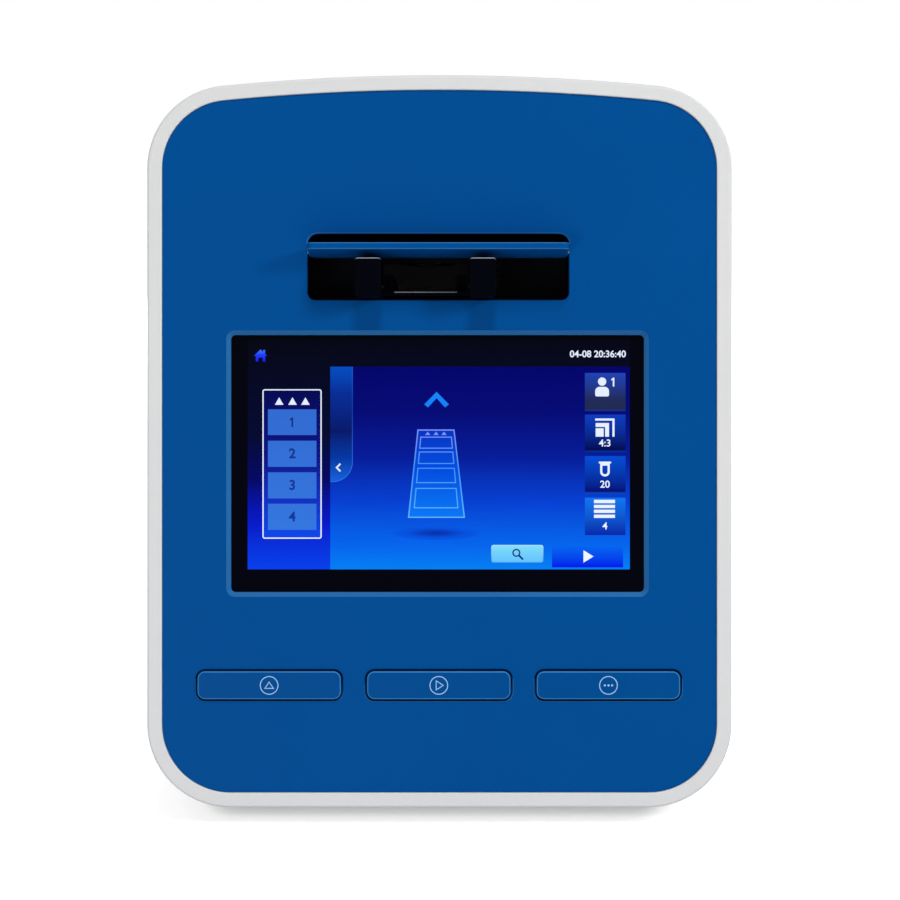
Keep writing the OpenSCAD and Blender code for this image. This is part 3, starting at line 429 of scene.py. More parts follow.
class Wiring:
    """The nodes of one material or world, while they are being wired.

    Args:
        owner: the material or world.
    """

    def __init__(self, owner: bpy.types.Material | bpy.types.World) -> None:
        owner.use_nodes = True
        self.tree = owner.node_tree

    def feed(self, node: bpy.types.Node, inputs: dict[str | int, object]) -> None:
        """Gives each named or numbered socket its value, or links another node's output to it."""
        for key, value in inputs.items():
            if isinstance(value, bpy.types.NodeSocket):
                self.tree.links.new(value, node.inputs[key])
            else:
                node.inputs[key].default_value = value

    def dress(self, inputs: dict[str, object], shader: str = "Principled BSDF") -> None:
        """Feeds the shader that the tree started with."""
        self.feed(self.tree.nodes[shader], inputs)

    def add(self, kind: str, inputs: dict[str | int, object], **settings: object) -> bpy.types.Node:
        """Adds a shader node.

        Args:
            kind: the node's type, without its ShaderNode prefix.
            inputs: values and links of its sockets.
            settings: the node's own properties by name.

        Returns:
            The new node.
        """
        node = self.tree.nodes.new("ShaderNode" + kind)
        for key, value in settings.items():
            setattr(node, key, value)
        self.feed(node, inputs)
        return node

    def place(self) -> bpy.types.NodeSocket:
        """The place on the object that patterns are drawn by."""
        return self.add("TexCoord", {}).outputs["Object"]

    def stretch(self, place: bpy.types.NodeSocket, scale: Sequence[float]) -> bpy.types.NodeSocket:
        """That place, stretched along x, y and z."""
        return self.add("Mapping", {"Vector": place, "Scale": scale}).outputs["Vector"]

    def noise(
        self, place: bpy.types.NodeSocket, scale: float, detail: float, roughness: float = 0.5
    ) -> bpy.types.NodeSocket:
        """A cloudy pattern."""
        inputs = {"Vector": place, "Scale": scale, "Detail": detail, "Roughness": roughness}
        return self.add("TexNoise", inputs).outputs["Fac"]

    def math(self, operation: str, first: object, second: object) -> bpy.types.NodeSocket:
        """One sum of two values."""
        return self.add("Math", {0: first, 1: second}, operation=operation).outputs[0]

    def mix(
        self, share: object, first: object, second: object, blend: str = "MIX"
    ) -> bpy.types.NodeSocket:
        """Two colours, mixed by a share."""
        sockets = {0: share, 6: first, 7: second}
        return self.add("Mix", sockets, data_type="RGBA", blend_type=blend).outputs[2]

    def remap(self, value: bpy.types.NodeSocket, **ends: float) -> bpy.types.NodeSocket:
        """A value moved between new ends, from_min, from_max, to_min and to_max."""
        sockets = {key.replace("_", " ").title(): end for key, end in ends.items()}
        return self.add("MapRange", {"Value": value, **sockets}).outputs["Result"]


def new_material(name: str, shown: str) -> tuple[bpy.types.Material, Wiring]:
    """Starts a node material, with the colour that it shows in a plain view."""
    material = bpy.data.materials.new(name)
    material.diffuse_color = linear(shown)
    return material, Wiring(material)


class Grain(Enum):
    """The fine pattern of a surface, as its stretch along x, y and z.

    CROSSED is an even pattern of crossed waves, for moulded, blasted and woven surfaces. The
    others are drawn out into the marks of a brush or a lathe.
    """

    CROSSED = (1.0, 1.0, 1.0)
    BRUSHED = (0.06, 1.0, 1.0)
    TURNED = (1.0, 0.12, 1.0)


@dataclass(frozen=True)
class Finish:
    """A solid material and the way that its surface was made.

    Args:
        name: the material's plain name.
        colour: its colour.
        tint: the second tone of its slow variation.
        grain: its fine pattern.
        grain_mm: size of the fine pattern.
        depth_mm: height of the fine pattern.
        roughness: mean roughness.
        spread: how far roughness strays from its mean.
        metallic: 1 for a bare metal.
        specular: specular level of a material that isn't a metal.
        coat: strength of a clear top coat.
        drift_mm: size of the slow variation.
    """

    name: str
    colour: str
    tint: str
    grain: Grain
    grain_mm: float
    depth_mm: float
    roughness: float
    spread: float = 0.04
    metallic: float = 0.0
    specular: float = 0.5
    coat: float = 0.0
    drift_mm: float = 60.0

    LEAST_ROUGHNESS: ClassVar[float] = 0.02
    GRAINS_IN_A_WAVE: ClassVar[float] = 3

    def build(self) -> bpy.types.Material:
        """Builds the node material."""
        material, wiring = new_material(self.name, self.colour)
        place = wiring.place()
        fine = self._pattern(wiring, wiring.stretch(place, self.grain.value))
        drift = wiring.noise(place, 1 / (self.drift_mm * MM), 3.0)
        low = max(self.LEAST_ROUGHNESS, self.roughness - self.spread)
        bump = {"Height": fine, "Distance": self.depth_mm * MM, "Strength": 1.0}
        wiring.dress(
            {
                "Base Color": wiring.mix(drift, linear(self.colour), linear(self.tint)),
                "Roughness": wiring.remap(fine, to_min=low, to_max=self.roughness + self.spread),
                "Normal": wiring.add("Bump", bump).outputs["Normal"],
                "Metallic": self.metallic,
                "Specular IOR Level": self.specular,
                "Coat Weight": self.coat,
            }
        )
        return material

    def _pattern(self, wiring: Wiring, place: bpy.types.NodeSocket) -> bpy.types.NodeSocket:
        """The fine pattern: crossed waves, or the drawn-out marks of a tool."""
        scale = 1 / (self.grain_mm * MM)
        if self.grain is not Grain.CROSSED:
            return wiring.noise(place, scale, 4.0, 0.6)
        inputs = {"Vector": place, "Scale": scale / self.GRAINS_IN_A_WAVE}
        waves = [wiring.add("TexWave", inputs, bands_direction=axis).outputs["Fac"] for axis in "XY"]
        return wiring.math("MAXIMUM", *waves)


@dataclass(frozen=True)
class Backlight:
    """A lit layer of the display, seen through the cover glass.

    Args:
        name: the layer's plain name.
        stops: the colour that the layer shows at some rows of the display, from the top.
        band_depth: how much darker the faint bands of a backlight's rows of lamps are.
        band_mm: pitch of those bands.
        band_length: how many pitches a band stays even along its length.
    """

    name: str
    stops: dict[float, str]
    band_depth: float = 0.1
    band_mm: float = 1.7
    band_length: float = 14

    def build(self) -> bpy.types.Material:
        """Builds the glowing material."""
        *_, last = self.stops.values()
        material, wiring = new_material("display_backlight_" + self.name, last)
        place = wiring.place()
        ramp = wiring.add("ValToRGB", {"Fac": self.share(wiring, place)})
        elements = ramp.color_ramp.elements
        elements.remove(elements[1])
        for index, (row, colour) in enumerate(self.stops.items()):
            position = self.position(row)
            stop = elements.new(position) if index else elements[0]
            stop.position = position
            stop.color = linear(colour)
        pitch = 1 / (self.band_mm * MM)
        bands = wiring.noise(wiring.stretch(place, (pitch / self.band_length, 0.0, pitch)), 1.0, 1.0)
        level = 1 - self.band_depth
        lit = wiring.mix(bands, (level, level, level, 1.0), (1.0, 1.0, 1.0, 1.0))
        wiring.dress(
            {
                "Emission Color": wiring.mix(1.0, ramp.outputs["Color"], lit, "MULTIPLY"),
                "Emission Strength": 1.0,
                "Base Color": linear("#000004"),
                "Roughness": COVER_GLASS.roughness,
                "Specular IOR Level": COVER_GLASS.specular,
            }
        )
        return material

    def share(self, wiring: Wiring, place: bpy.types.NodeSocket) -> bpy.types.NodeSocket:
        """How far down the display a point lies, from 0 to 1."""
        height = wiring.add("SeparateXYZ", {0: place}).outputs["Z"]
        heights = [Display.spot(0.0, row)[1] for row in (0.0, Display.ROWS)]
        top, bottom = [(PANEL @ Vector((0.0, v, 0.0))).z for v in heights]
        return wiring.remap(height, from_min=top, from_max=bottom)

    def position(self, row: float) -> float:
        """Place of a row on the colour ramp."""
        return row / Display.ROWS


@dataclass(frozen=True)
class Pool(Backlight):
    """A soft shadow drawn on the display, darkest in its middle. Its stops run from 0 to 1.

    Args:
        centre: column and row of its middle.
        reach: half its width and half its height, in dots.
    """

    centre: Point = (394.5, 404.0)
    reach: Point = (92.0, 15.0)

    def share(self, wiring: Wiring, place: bpy.types.NodeSocket) -> bpy.types.NodeSocket:
        """How near the middle a point lies, from 0 at the rim to 1."""
        middle = PANEL @ Vector((*Display.spot(*self.centre), Display.GLASS_W))
        half_x = self.reach[0] * Display.DOT_U * MM
        half_z = self.reach[1] * Display.DOT_V * MM * math.cos(LEAN)
        inputs = {
            "Vector": place,
            "Location": (-middle.x / half_x, 0.0, -middle.z / half_z),
            "Scale": (1 / half_x, 0.0, 1 / half_z),
        }
        about = wiring.add("Mapping", inputs).outputs["Vector"]
        return wiring.add("TexGradient", {"Vector": about}, gradient_type="SPHERICAL").outputs["Fac"]

    def position(self, row: float) -> float:
        """Place of a stop on the colour ramp."""
        return row


# Moulded ABS: an even, softly dull skin with a faint even texture.
PALE_ABS = Finish(
    "moulded_abs_pale_grey", "#d3d3d3", "#cecfd0", Grain.CROSSED, 0.7, 0.012, 0.5, specular=0.3
)
# Painted ABS: the panel's blue lies under a satin paint, finer and a little smoother than the shell.
BLUE_PAINT = Finish(
    "satin_paint_blue", "#004b8f", "#004789", Grain.CROSSED, 0.6, 0.008, 0.45, specular=0.025
)
# A lighter blue painted on the screen's chamfer, the port's upper edge, the pockets' lower edges and
# the door's edges: a painted highlight where those edges catch the light.
BLUE_PAINT_HIGHLIGHT = Finish(
    "satin_paint_blue_painted_highlight", "#276aa5", "#22639e", Grain.CROSSED, 0.6, 0.004, 0.34, specular=0.1
)
# Moulded ABS in the same blue, with a slightly shinier top that fingers have polished.
BLUE_KEY = Finish(
    "moulded_abs_blue", "#004a8c", "#004687", Grain.CROSSED, 0.6, 0.006, 0.4, specular=0.03
)
# A lighter blue painted on the keys' rounded rims: a painted highlight where the rims catch the light.
BLUE_KEY_HIGHLIGHT = Finish(
    "moulded_abs_blue_painted_highlight", "#2f7cba", "#2874b2", Grain.CROSSED, 0.6, 0.004, 0.3, specular=0.12
)
# Pad-printed ink: flat light blue lines on the keys.
PRINT_INK = Finish(
    "printed_ink_light_blue", "#9cc4ec", "#90b8e4", Grain.CROSSED, 0.3, 0.002, 0.5, specular=0.1
)
# Cover glass over a black border: a deep black with clean reflections.
COVER_GLASS = Finish(
    "cover_glass_black", "#01020a", "#01010c", Grain.CROSSED, 9.0, 0.0004, 0.05, 0.01, specular=0.02
)
# Matt black ABS: the lining of the port swallows light.
BLACK_ABS = Finish(
    "moulded_abs_black", "#02050f", "#02040c", Grain.CROSSED, 0.5, 0.012, 0.55, specular=0.05
)
# Acetal: black and waxy where the cutter left it.
BLACK_ACETAL = Finish(
    "machined_acetal_black", "#010209", "#010207", Grain.TURNED, 0.4, 0.004, 0.5, specular=0.015
)
# A light grey, glossier finish on the tray's upward-facing rounded front edges: a painted highlight
# where they catch the light from above.
BLACK_ACETAL_HIGHLIGHT = Finish(
    "acetal_painted_highlight", "#7f808d", "#747581", Grain.TURNED, 0.4, 0.001, 0.22, specular=0.5
)
# Moulded polyamide: the charcoal black of switches and sockets, with a low sheen.
POLYAMIDE = Finish(
    "moulded_polyamide_black", "#17181a", "#1c1d1f", Grain.CROSSED, 0.6, 0.008, 0.42, specular=0.4
)
# Nitrile rubber: dark grey and dull, with a dusty bloom.
RUBBER = Finish(
    "moulded_rubber_grey", "#26272a", "#2e2f32", Grain.CROSSED, 0.5, 0.02, 0.8, specular=0.3
)
# Zinc-plated steel sheet: bright, faintly yellow and clouded.
ZINC_SHEET = Finish(
    "zinc_plated_steel", "#b9babc", "#aeb1ae", Grain.CROSSED, 2.5, 0.006, 0.34, 0.08, metallic=1.0,
    drift_mm=18.0,
)
# Turned stainless steel: fine rings round a bright bar.
TURNED_STEEL = Finish(
    "turned_stainless_steel", "#c6c7c9", "#bcbdc0", Grain.TURNED, 0.3, 0.003, 0.24, metallic=1.0
)
# Rolled aluminium sheet: long straight brushing.
BRUSHED_ALUMINIUM = Finish(
    "brushed_aluminium", "#c4c6c9", "#b9bbbe", Grain.BRUSHED, 0.35, 0.003, 0.36, 0.07, metallic=1.0
)
# Bead-blasted aluminium: an even silver grey.
BLASTED_ALUMINIUM = Finish(
    "bead_blasted_aluminium", "#b4b6b9", "#aaacb0", Grain.CROSSED, 0.5, 0.006, 0.46, metallic=1.0
)
# Black anodised aluminium: a soft charcoal with a metal edge to its highlights.
BLACK_ANODISED = Finish(
    "black_anodised_aluminium", "#17181a", "#1c1d20", Grain.TURNED, 0.4, 0.003, 0.38, metallic=0.6
)
# Free-cutting brass: warm yellow with turning marks.
BRASS = Finish("turned_brass", "#c8a254", "#bd9649", Grain.TURNED, 0.35, 0.003, 0.28, metallic=1.0)
# Glass-epoxy board: green mask over a fine weave of glass.
CIRCUIT_BOARD = Finish(
    "glass_epoxy_board", "#155a36", "#114f2f", Grain.CROSSED, 0.9, 0.006, 0.35, coat=0.3
)
# Painted motor can: smooth black enamel.
MOTOR_CASE = Finish("black_enamelled_steel", "#151619", "#1a1b1e", Grain.CROSSED, 1.2, 0.006, 0.32)
# Optical glass with a bluish coating.
LENS_GLASS = Finish(
    "coated_lens_glass", "#28324a", "#1e2740", Grain.CROSSED, 6.0, 0.0003, 0.04, 0.01, coat=1.0
)
# Polyester film over flat copper: pale grey and slightly glossy.
POLYESTER_FILM = Finish("polyester_ribbon", "#cfcfca", "#c4c4be", Grain.BRUSHED, 1.0, 0.004, 0.4)

# Nodes of the frame that stay in view, by finish.
CAD_FINISHES: dict[Finish, tuple[str, ...]] = {
    ZINC_SHEET: ("base_chassis", "foot_screws", "chassis_screws", "chassis_spacers", "usb_ports"),
    RUBBER: ("foot_front_left", "foot_front_right", "foot_rear_left", "foot_rear_right"),
    BRUSHED_ALUMINIUM: ("chassis_plate", "lcd_module"),
    COVER_GLASS: ("touch_glass",),
    CIRCUIT_BOARD: ("button_board", "camera_board", "main_board"),
    BLACK_ABS: ("port_liner",),
    TURNED_STEEL: (
        "door_pin", "tray_lead_screw", "guide_rod_left", "guide_rod_right", "focus_rod_left",
        "focus_rod_right", "focus_lead_screw", "objective",
    ),
    BRASS: ("tray_nut", "board_standoffs"),
    MOTOR_CASE: ("tray_motor", "focus_motor"),
    BLACK_ANODISED: (
        "rail_block_front", "rail_block_rear", "lamp_bridge", "lamp_housing", "camera_tube",
    ),
    BLASTED_ALUMINIUM: ("optics_deck", "focus_frame", "focus_carriage"),
    LENS_GLASS: ("condenser_lens",),
    POLYESTER_FILM: ("display_ribbon",),
    POLYAMIDE: ("dc_jack", "rocker_housing", "power_rocker"),
}


class Workshop:
    """Keeps one material for each finish, and puts finished pieces on the instrument."""

    def __init__(self) -> None:
        self.materials: dict[str, bpy.types.Material] = {}

    def material(self, finish: Finish | Backlight) -> bpy.types.Material:
        """The material of a finish, built at its first use."""
        if finish.name not in self.materials:
            self.materials[finish.name] = finish.build()
        return self.materials[finish.name]

    def install(
        self,
        piece: Piece,
        finish: Finish | Backlight,
        body: str = "casing",
        stands_for: str = "",
        painted_highlight: Finish | None = None,
    ) -> None:
        """Dresses a finished piece and mounts it.

        Args:
            piece: the finished piece, in place.
            finish: its finish.
            body: moving body that it rides on.
            stands_for: node of the frame that it replaces, if any.
            painted_highlight: the painted highlight's finish, for the faces that were marked for it.
        """
        rest_hands()
        obj = piece.obj
        highlighted_faces = [face.index for face in obj.data.polygons if face.material_index]
        obj.data.materials.clear()
        for part in (finish, painted_highlight) if painted_highlight else (finish,):
            obj.data.materials.append(self.material(part))
        for index in highlighted_faces if painted_highlight else ():
            obj.data.polygons[index].material_index = 1
        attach(obj, body)
        if stands_for:
            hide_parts(stands_for)
        LOG.info("%s: %d faces, on %s", obj.name, len(obj.data.polygons), body)

    def dress_frame(self) -> None:
        """Gives every node of the frame that stays in view its finish."""
        for finish, names in CAD_FINISHES.items():
            for name in names:
                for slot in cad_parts[name].material_slots:
                    slot.material = self.material(finish)


# ---------------------------------------------------------------- casing


@dataclass(frozen=True)
class Silhouette:
    """The body's outline: flat foot, straight sides, arched crown and rounded corners.

    Args:
        width: full width.
        height: full height along the panel.
        arch_r: radius of the crown.
        corner_r: radius of the four corners.
        steps: straight pieces in a corner and in the crown.
    """

    width: float = 232.4
    height: float = BODY_H
    arch_r: float = 889.0
    corner_r: float = 33.0
    steps: tuple[int, int] = (20, 28)

    def path(self, inset: float) -> Path:
        """The outline about its centre, moved inwards by an inset."""
        half = self.height / 2
        corner = self.corner_r - inset
        return arched(
            self.width / 2 - inset, (inset - half, half - inset), self.arch_r - inset,
            (corner, corner), self.steps,
        )


def arched(
    half: float, span: Point, arch_r: float, corners: Point, steps: tuple[int, int]
) -> Path:
    """A flat-footed outline with an arched crown.

    Args:
        half: half width.
        span: heights of the foot and of the crown.
        arch_r: radius of the crown.
        corners: radii of the upper and the lower corners.
        steps: straight pieces in a corner and in the crown.

    Returns:
        The closed path.
    """
    (low, high), (upper, lower), (corner_steps, arch_steps) = span, corners, steps
    arch_y = high - arch_r
    corner_y = arch_y + math.sqrt((arch_r - upper) ** 2 - (half - upper) ** 2)
    turn = math.atan2(corner_y - arch_y, half - upper)
    return Path(
        (half - lower, low),
        (
            Arc((half - lower, low + lower), QUARTER, corner_steps),
            Line((half, corner_y)),
            Arc((half - upper, corner_y), turn, corner_steps),
            Arc((0.0, arch_y), math.pi - 2 * turn, arch_steps),
            Arc((upper - half, corner_y), turn, corner_steps),
            Line((-half, low + lower)),
            Arc((lower - half, low + lower), QUARTER, corner_steps),
            Line((half - lower, low)),
        ),
    )


@dataclass
class FrontFrame:
    """The pale moulded frame around the panel."""

    shape: Silhouette = field(default_factory=Silhouette)
    depth: float = FRAME_DEPTH
    wall: float = 3.0
    band: float = 5.9
    front_r: float = FRONT_EDGE_R
    seat_depth: float = 3.8
    ledge_w: float = 4.0
    ledge_t: float = 2.0
    inner_r: float = 0.5
    boss_r: float = 4.0
    boss_back: float = -11.0
    boss_sink: float = 0.4
    boss_xs: tuple[float, float] = (-109.7, 109.7)
    boss_vs: tuple[float, float, float] = (-108.6, 4.0, 108.6)

    def build(self, shop: Workshop) -> None:
        """Models the frame and mounts it."""
        body = solid("front_frame_shell", self.shape.path(0.0), -self.depth, 0.0)
        body.pick_rim(0.0)
        body.bevel(self.front_r, 6)
        back = -self.seat_depth - self.ledge_t
        body.cut(
            solid("seat", self.shape.path(self.band), -self.seat_depth, OVER),
            solid("window", self.shape.path(self.band + self.ledge_w), back - OVER, 0.0),
            solid("hollow", self.shape.path(self.wall), -self.depth - OVER, back),
        )
        body.pick_rim(0.0)
        body.bevel(self.inner_r, 3)
        for x in self.boss_xs:
            for v in self.boss_vs:
                ends = (x, v, back + self.boss_sink), (x, v, self.boss_back)
                body.fuse(bar("boss", *ends, self.boss_r, 24))
        shop.install(body.settle(PANEL).shade(), PALE_ABS, stands_for="front_frame")


@dataclass
class FrontPanel:
    """The blue panel with its bevelled screen opening, slide port and key pockets."""

    shape: Silhouette = field(default_factory=Silhouette)
    inset: float = 6.05
    face: float = -0.8
    back: float = -3.8
    edge_r: float = 0.35
    port_edge_r: float = 0.5
    glass_centre: Point = (-0.75, -8.9)
    glass_size: Point = (164.5, 102.4)
    glass_r: float = 1.8
    bevel_w: float = 2.5
    port_low: Point = (-52.45, 56.2)
    port_high: Point = (51.55, 82.5)
    port_r: float = 4.0
    port_lower_r: float = 3.0
    key_gap: float = 0.8
    pin_depth: float = 3.0

    def build(self, shop: Workshop) -> None:
        """Models the panel and mounts it."""
        panel = solid("blue_front_panel", self.shape.path(self.inset), self.back, self.face)
        screen = centred(self.glass_centre, *self.glass_size, self.glass_r)
        # The screen's chamfer takes the painted highlight all round.
        self._open(panel, screen, self.glass_centre, self.glass_size, self.bevel_w, 1)
        port = rounded(self.port_low, self.port_high, self.port_r, 8, self.port_lower_r)
        ends = list(zip(self.port_low, self.port_high))
        centre, size = [(a + b) / 2 for a, b in ends], [b - a for a, b in ends]
        # The port's upper edge takes the painted highlight.
        self._open(panel, port, centre, size, self.port_edge_r, lit=1)
        size = [side + 2 * self.key_gap for side in KEY_SIZE]
        for key in KEYS:
            pocket = centred((key.u, KEY_V), *size, KEY_R + self.key_gap)
            # Each pocket's lower edge takes the painted highlight.
            self._open(panel, pocket, (key.u, KEY_V), size, self.edge_r, lit=-1)
        for side, x in zip(SIDES, (self.port_low[0], self.port_high[0])):
            start, end = (x - side * OVER, *HINGE), (x + side * self.pin_depth, *HINGE)
            panel.cut(bar("bore", start, end, PIN_BORE_R, 16))
        shop.install(
            panel.settle(PANEL).shade(), BLUE_PAINT,
            stands_for="front_panel", painted_highlight=BLUE_PAINT_HIGHLIGHT,
        )

    def _open(
        self, panel: Piece, path: Path, centre: Sequence[float], size: Sequence[float],
        edge: float, steps: int = 3, lit: int = 0,
    ) -> None:
        """Cuts an opening through the panel and rounds its front edge, which takes the painted
        highlight.

        Args:
            panel: the panel.
            path: outline of the opening.
            centre: middle of the opening.
            size: width and height of the opening.
            edge: width of the broken edge.
            steps: faces across the broken edge.
            lit: 1 where only its upper half takes the painted highlight, -1 for the lower half, 0 for
                all.
        """
        panel.cut(solid("opening", path, self.back - OVER, self.face + OVER))

        def around(line: bmesh.types.BMEdge) -> bool:
            """Whether an edge is sharp and lies round the opening."""
            middle = (line.verts[0].co + line.verts[1].co) / 2
            return (
                lies_at(line, self.face)
                and line.calc_face_angle(0.0) > QUARTER / 2
                and all(abs(middle[i] - centre[i]) < size[i] / 2 + OVER for i in (0, 1))
            )

        panel.pick(around)
        panel.bevel(edge, steps, painted_highlight=True)
        # Faces of the rounded edge on the other half go back to the plain blue.
        for face in panel.obj.data.polygons:
            rise = face.center.y - centre[1]
            if abs(rise) < size[1] / 2 + OVER and rise * lit < 0:
                face.material_index = 0


@dataclass
class RearHousing:
    """The plain rear housing, lofted from the leaning frame to an upright back wall."""

    shape: Silhouette = field(default_factory=Silhouette)
    shadow_gap: float = 1.2
    rear_w: float = 204.0
    rear_h: float = 240.0
    fall: Point = (0.25, 0.75)
    foot_r: float = 16.0
    corner_gain: float = 6.0
    back_r: float = 10.0
    wall: float = 2.8
    frame_wall: float = 3.0
    stations: int = 12
    rounding: int = 8
    steps: tuple[int, int] = (16, 24)
    vent_z: float = 148.8
    vent_pitch: float = 9.0
    vent_size: Point = (3.0, 48.0)
    vent_r: float = 1.49
    vents_a_side: int = 4
    jack: tuple[float, float, float] = (22.0, 27.4, 4.5)
    usb_x: tuple[float, float] = (43.5, 60.5)
    usb_z: float = 25.5
    usb_size: Point = (13.6, 7.0)
    rocker: Point = (-52.0, 29.9)
    rocker_size: Point = (19.4, 13.0)
    socket_r: float = 0.3
    screw_r: float = 1.7
    foot_x: float = 71.2
    foot_ys: tuple[float, float] = (SPLIT_Y + 18.0, 68.1)
    edge_r: float = 0.4
    edge_angle: float = math.radians(60.0)
    rib_sink: float = 2.2
    rib_depth: float = 3.0
    lip_gap: float = 0.2
    lip_wall: float = 2.0
    lip_ends: Point = (-1.0, 4.0)

    def ring_at(self, y: float, inset: float) -> Piece:
        """Draws one section of the housing, turned upright towards the back.

        Args:
            y: where the section's plane meets the floor.
            inset: how far the section is moved inwards.

        Returns:
            The section as a loop of edges, in place.
        """
        shape = self.shape
        t = (y - SPLIT_Y) / (REAR_Y - SPLIT_Y)
        even, curved = self.fall
        half = shape.width / 2 - (shape.width - self.rear_w) / 2 * t * abs(t)
        height = shape.height - (shape.height - self.rear_h) * (even * t + curved * t * abs(t))
        upper = shape.corner_r + self.corner_gain * t - inset
        lower = shape.corner_r + (self.foot_r - shape.corner_r) * t - inset
        path = arched(
            half - inset, (inset, height - inset), shape.arch_r - inset, (upper, lower), self.steps
        )
        turn = Matrix.Rotation(QUARTER - LEAN * (1 - t), 4, "X")
        loop = outline("section", path, 0.0, filled=False)
        return loop.settle(Matrix.Translation((0.0, y, FOOT_H)) @ turn)

    def shell(self) -> Piece:
        """Bridges the sections, closes the back and gives the shell its wall."""
        start, turn_y = SPLIT_Y + self.shadow_gap, REAR_Y - self.back_r
        stops = [(start + (turn_y - start) * i / self.stations, 0.0) for i in range(self.stations)]
        for i in range(self.rounding + 1):
            a = QUARTER * i / self.rounding
            stops.append((turn_y + self.back_r * math.sin(a), self.back_r * (1 - math.cos(a))))
        sections = [self.ring_at(*stop) for stop in stops]
        body = sections[0].join(*sections[1:])
        body.rename("rear_housing_shell")
        body.edit(Element.EDGE, everything=True)
        bpy.ops.mesh.bridge_edge_loops(type="SINGLE")
        body.pick(lambda edge: edge.is_boundary and lies_at(edge, REAR_Y, 1))
        bpy.ops.mesh.edge_face_add()
        bpy.ops.mesh.select_all(action="SELECT")
        bpy.ops.mesh.normals_make_consistent(inside=False)
        rest_hands()
        back = max(body.obj.data.polygons, key=lambda face: face.area)
        if back.normal.y < 0.0:
            body.edit(everything=True)
            bpy.ops.mesh.flip_normals()
        body.modify("SOLIDIFY", thickness=self.wall, offset=-1.0, use_even_offset=True)
        return body

    def through_wall(self, path: Path) -> Piece:
        """A cutter through the back wall, drawn as seen in x and z."""
        tool = solid("opening", path, -OVER, self.wall + 2 * OVER)
        place = Matrix.Translation((0.0, REAR_Y, 0.0)) @ Matrix.Rotation(QUARTER, 4, "X")
        return tool.settle(place)

    def cutters(self) -> list[Piece]:
        """Every opening of the back wall and the floor."""
        count = self.vents_a_side
        vents = [i * self.vent_pitch for i in range(-count, count + 1)]
        *jack, jack_r = self.jack
        screw_x, screw_z = REAR_SCREW
        paths = [
            *(centred((x, self.vent_z), *self.vent_size, self.vent_r, 6) for x in vents),
            circle(jack, jack_r, 40),
            *(centred((x, self.usb_z), *self.usb_size, self.socket_r, 3) for x in self.usb_x),
            centred(self.rocker, *self.rocker_size, self.socket_r, 3),
            *(circle((side * screw_x, screw_z), self.screw_r, 20) for side in SIDES),
        ]
        tools = [self.through_wall(path) for path in paths]
        low, high = FOOT_H - OVER, FOOT_H + self.wall + OVER
        for x in (-self.foot_x, self.foot_x):
            for y in self.foot_ys:
                tools.append(bar("screw", (x, y, low), (x, y, high), self.screw_r, 20))
        return tools

    def rim(self, name: str, inset: float, wall: float, low: float, high: float) -> Piece:
        """A ring behind the front frame, between two depths from its back."""
        path = self.shape.path(inset)
        return ring(name, path, wall, -FRAME_DEPTH + low, -FRAME_DEPTH + high).settle(PANEL)

    def build(self, shop: Workshop) -> None:
        """Models the housing with the rib that fills the shadow gap, and mounts it."""
        body = self.shell()
        body.outward()
        for tool in self.cutters():
            body.cut(tool)
        body.pick_rim(REAR_Y, 1, self.edge_angle)
        body.bevel(self.edge_r, 2)
        body.settle(BODY)
        rib_wall = self.frame_wall + self.rib_sink - self.shadow_gap
        body.fuse(
            self.rim("rib", self.shadow_gap, rib_wall, -self.rib_depth, 0.0),
            self.rim("lip", self.frame_wall + self.lip_gap, self.lip_wall, *self.lip_ends),
        )
        shop.install(body.shade(), PALE_ABS, stands_for="rear_housing")


@dataclass
class RearScrews:
    """The two cross-recessed screws that hold the housing to the chassis."""

    head_r: float = 3.0
    head_h: float = 2.0
    dome_r: float = 1.1
    shank_r: float = 1.5
    shank_l: float = 9.0
    recess: Point = (1.7, 0.4)
    recess_depth: float = 1.3
    sink: float = 0.5

    def build(self, shop: Workshop) -> None:
        """Models both screws as one piece and mounts it."""
        x, z = REAR_SCREW
        left, right = [self.screw(side * x, z) for side in SIDES]
        screws = left.join(right).settle(BODY).shade()
        shop.install(screws, TURNED_STEEL, stands_for="rear_screws")

    def screw(self, x: float, z: float) -> Piece:
        """One screw: a domed head with a cross cut into it, on a plain shank."""
        top = REAR_Y + self.head_h
        head = bar("rear_screws_turned", (x, REAR_Y, z), (x, top, z), self.head_r)
        head.pick_rim(top, 1)
        head.bevel(self.dome_r, 4)
        ends = (x, REAR_Y - self.shank_l, z), (x, REAR_Y + self.sink, z)
        head.fuse(bar("shank", *ends, self.shank_r, 32))
        floor, high = top - self.recess_depth, top + self.sink
        for half_x, half_z in (self.recess, self.recess[::-1]):
            head.cut(
                block("cross", (x - half_x, floor, z - half_z), (x + half_x, high, z + half_z))
            )
        return head


# ---------------------------------------------------------------- keys


class Sign(Enum):
    """The sign printed in a key's ring: the corners of its shape, or none for three dots."""

    UP = ((-2.05, -1.35), (2.05, -1.35), (0.0, 1.6))
    PLAY = ((-1.2, -2.1), (2.1, 0.0), (-1.2, 2.1))
    MORE = ()


@dataclass(frozen=True)
class Key:
    """One wide key.

    Args:
        name: name of its node.
        body: body that it moves with.
        u: sideways place of its centre.
        sign: sign printed on it.
    """

    name: str
    body: str
    u: float
    sign: Sign


KEYS = (
    Key("eject_button", "eject_key", -67.65, Sign.UP),
    Key("start_button", "start_key", -0.25, Sign.PLAY),
    Key("function_button", "function_key", 67.15, Sign.MORE),
)


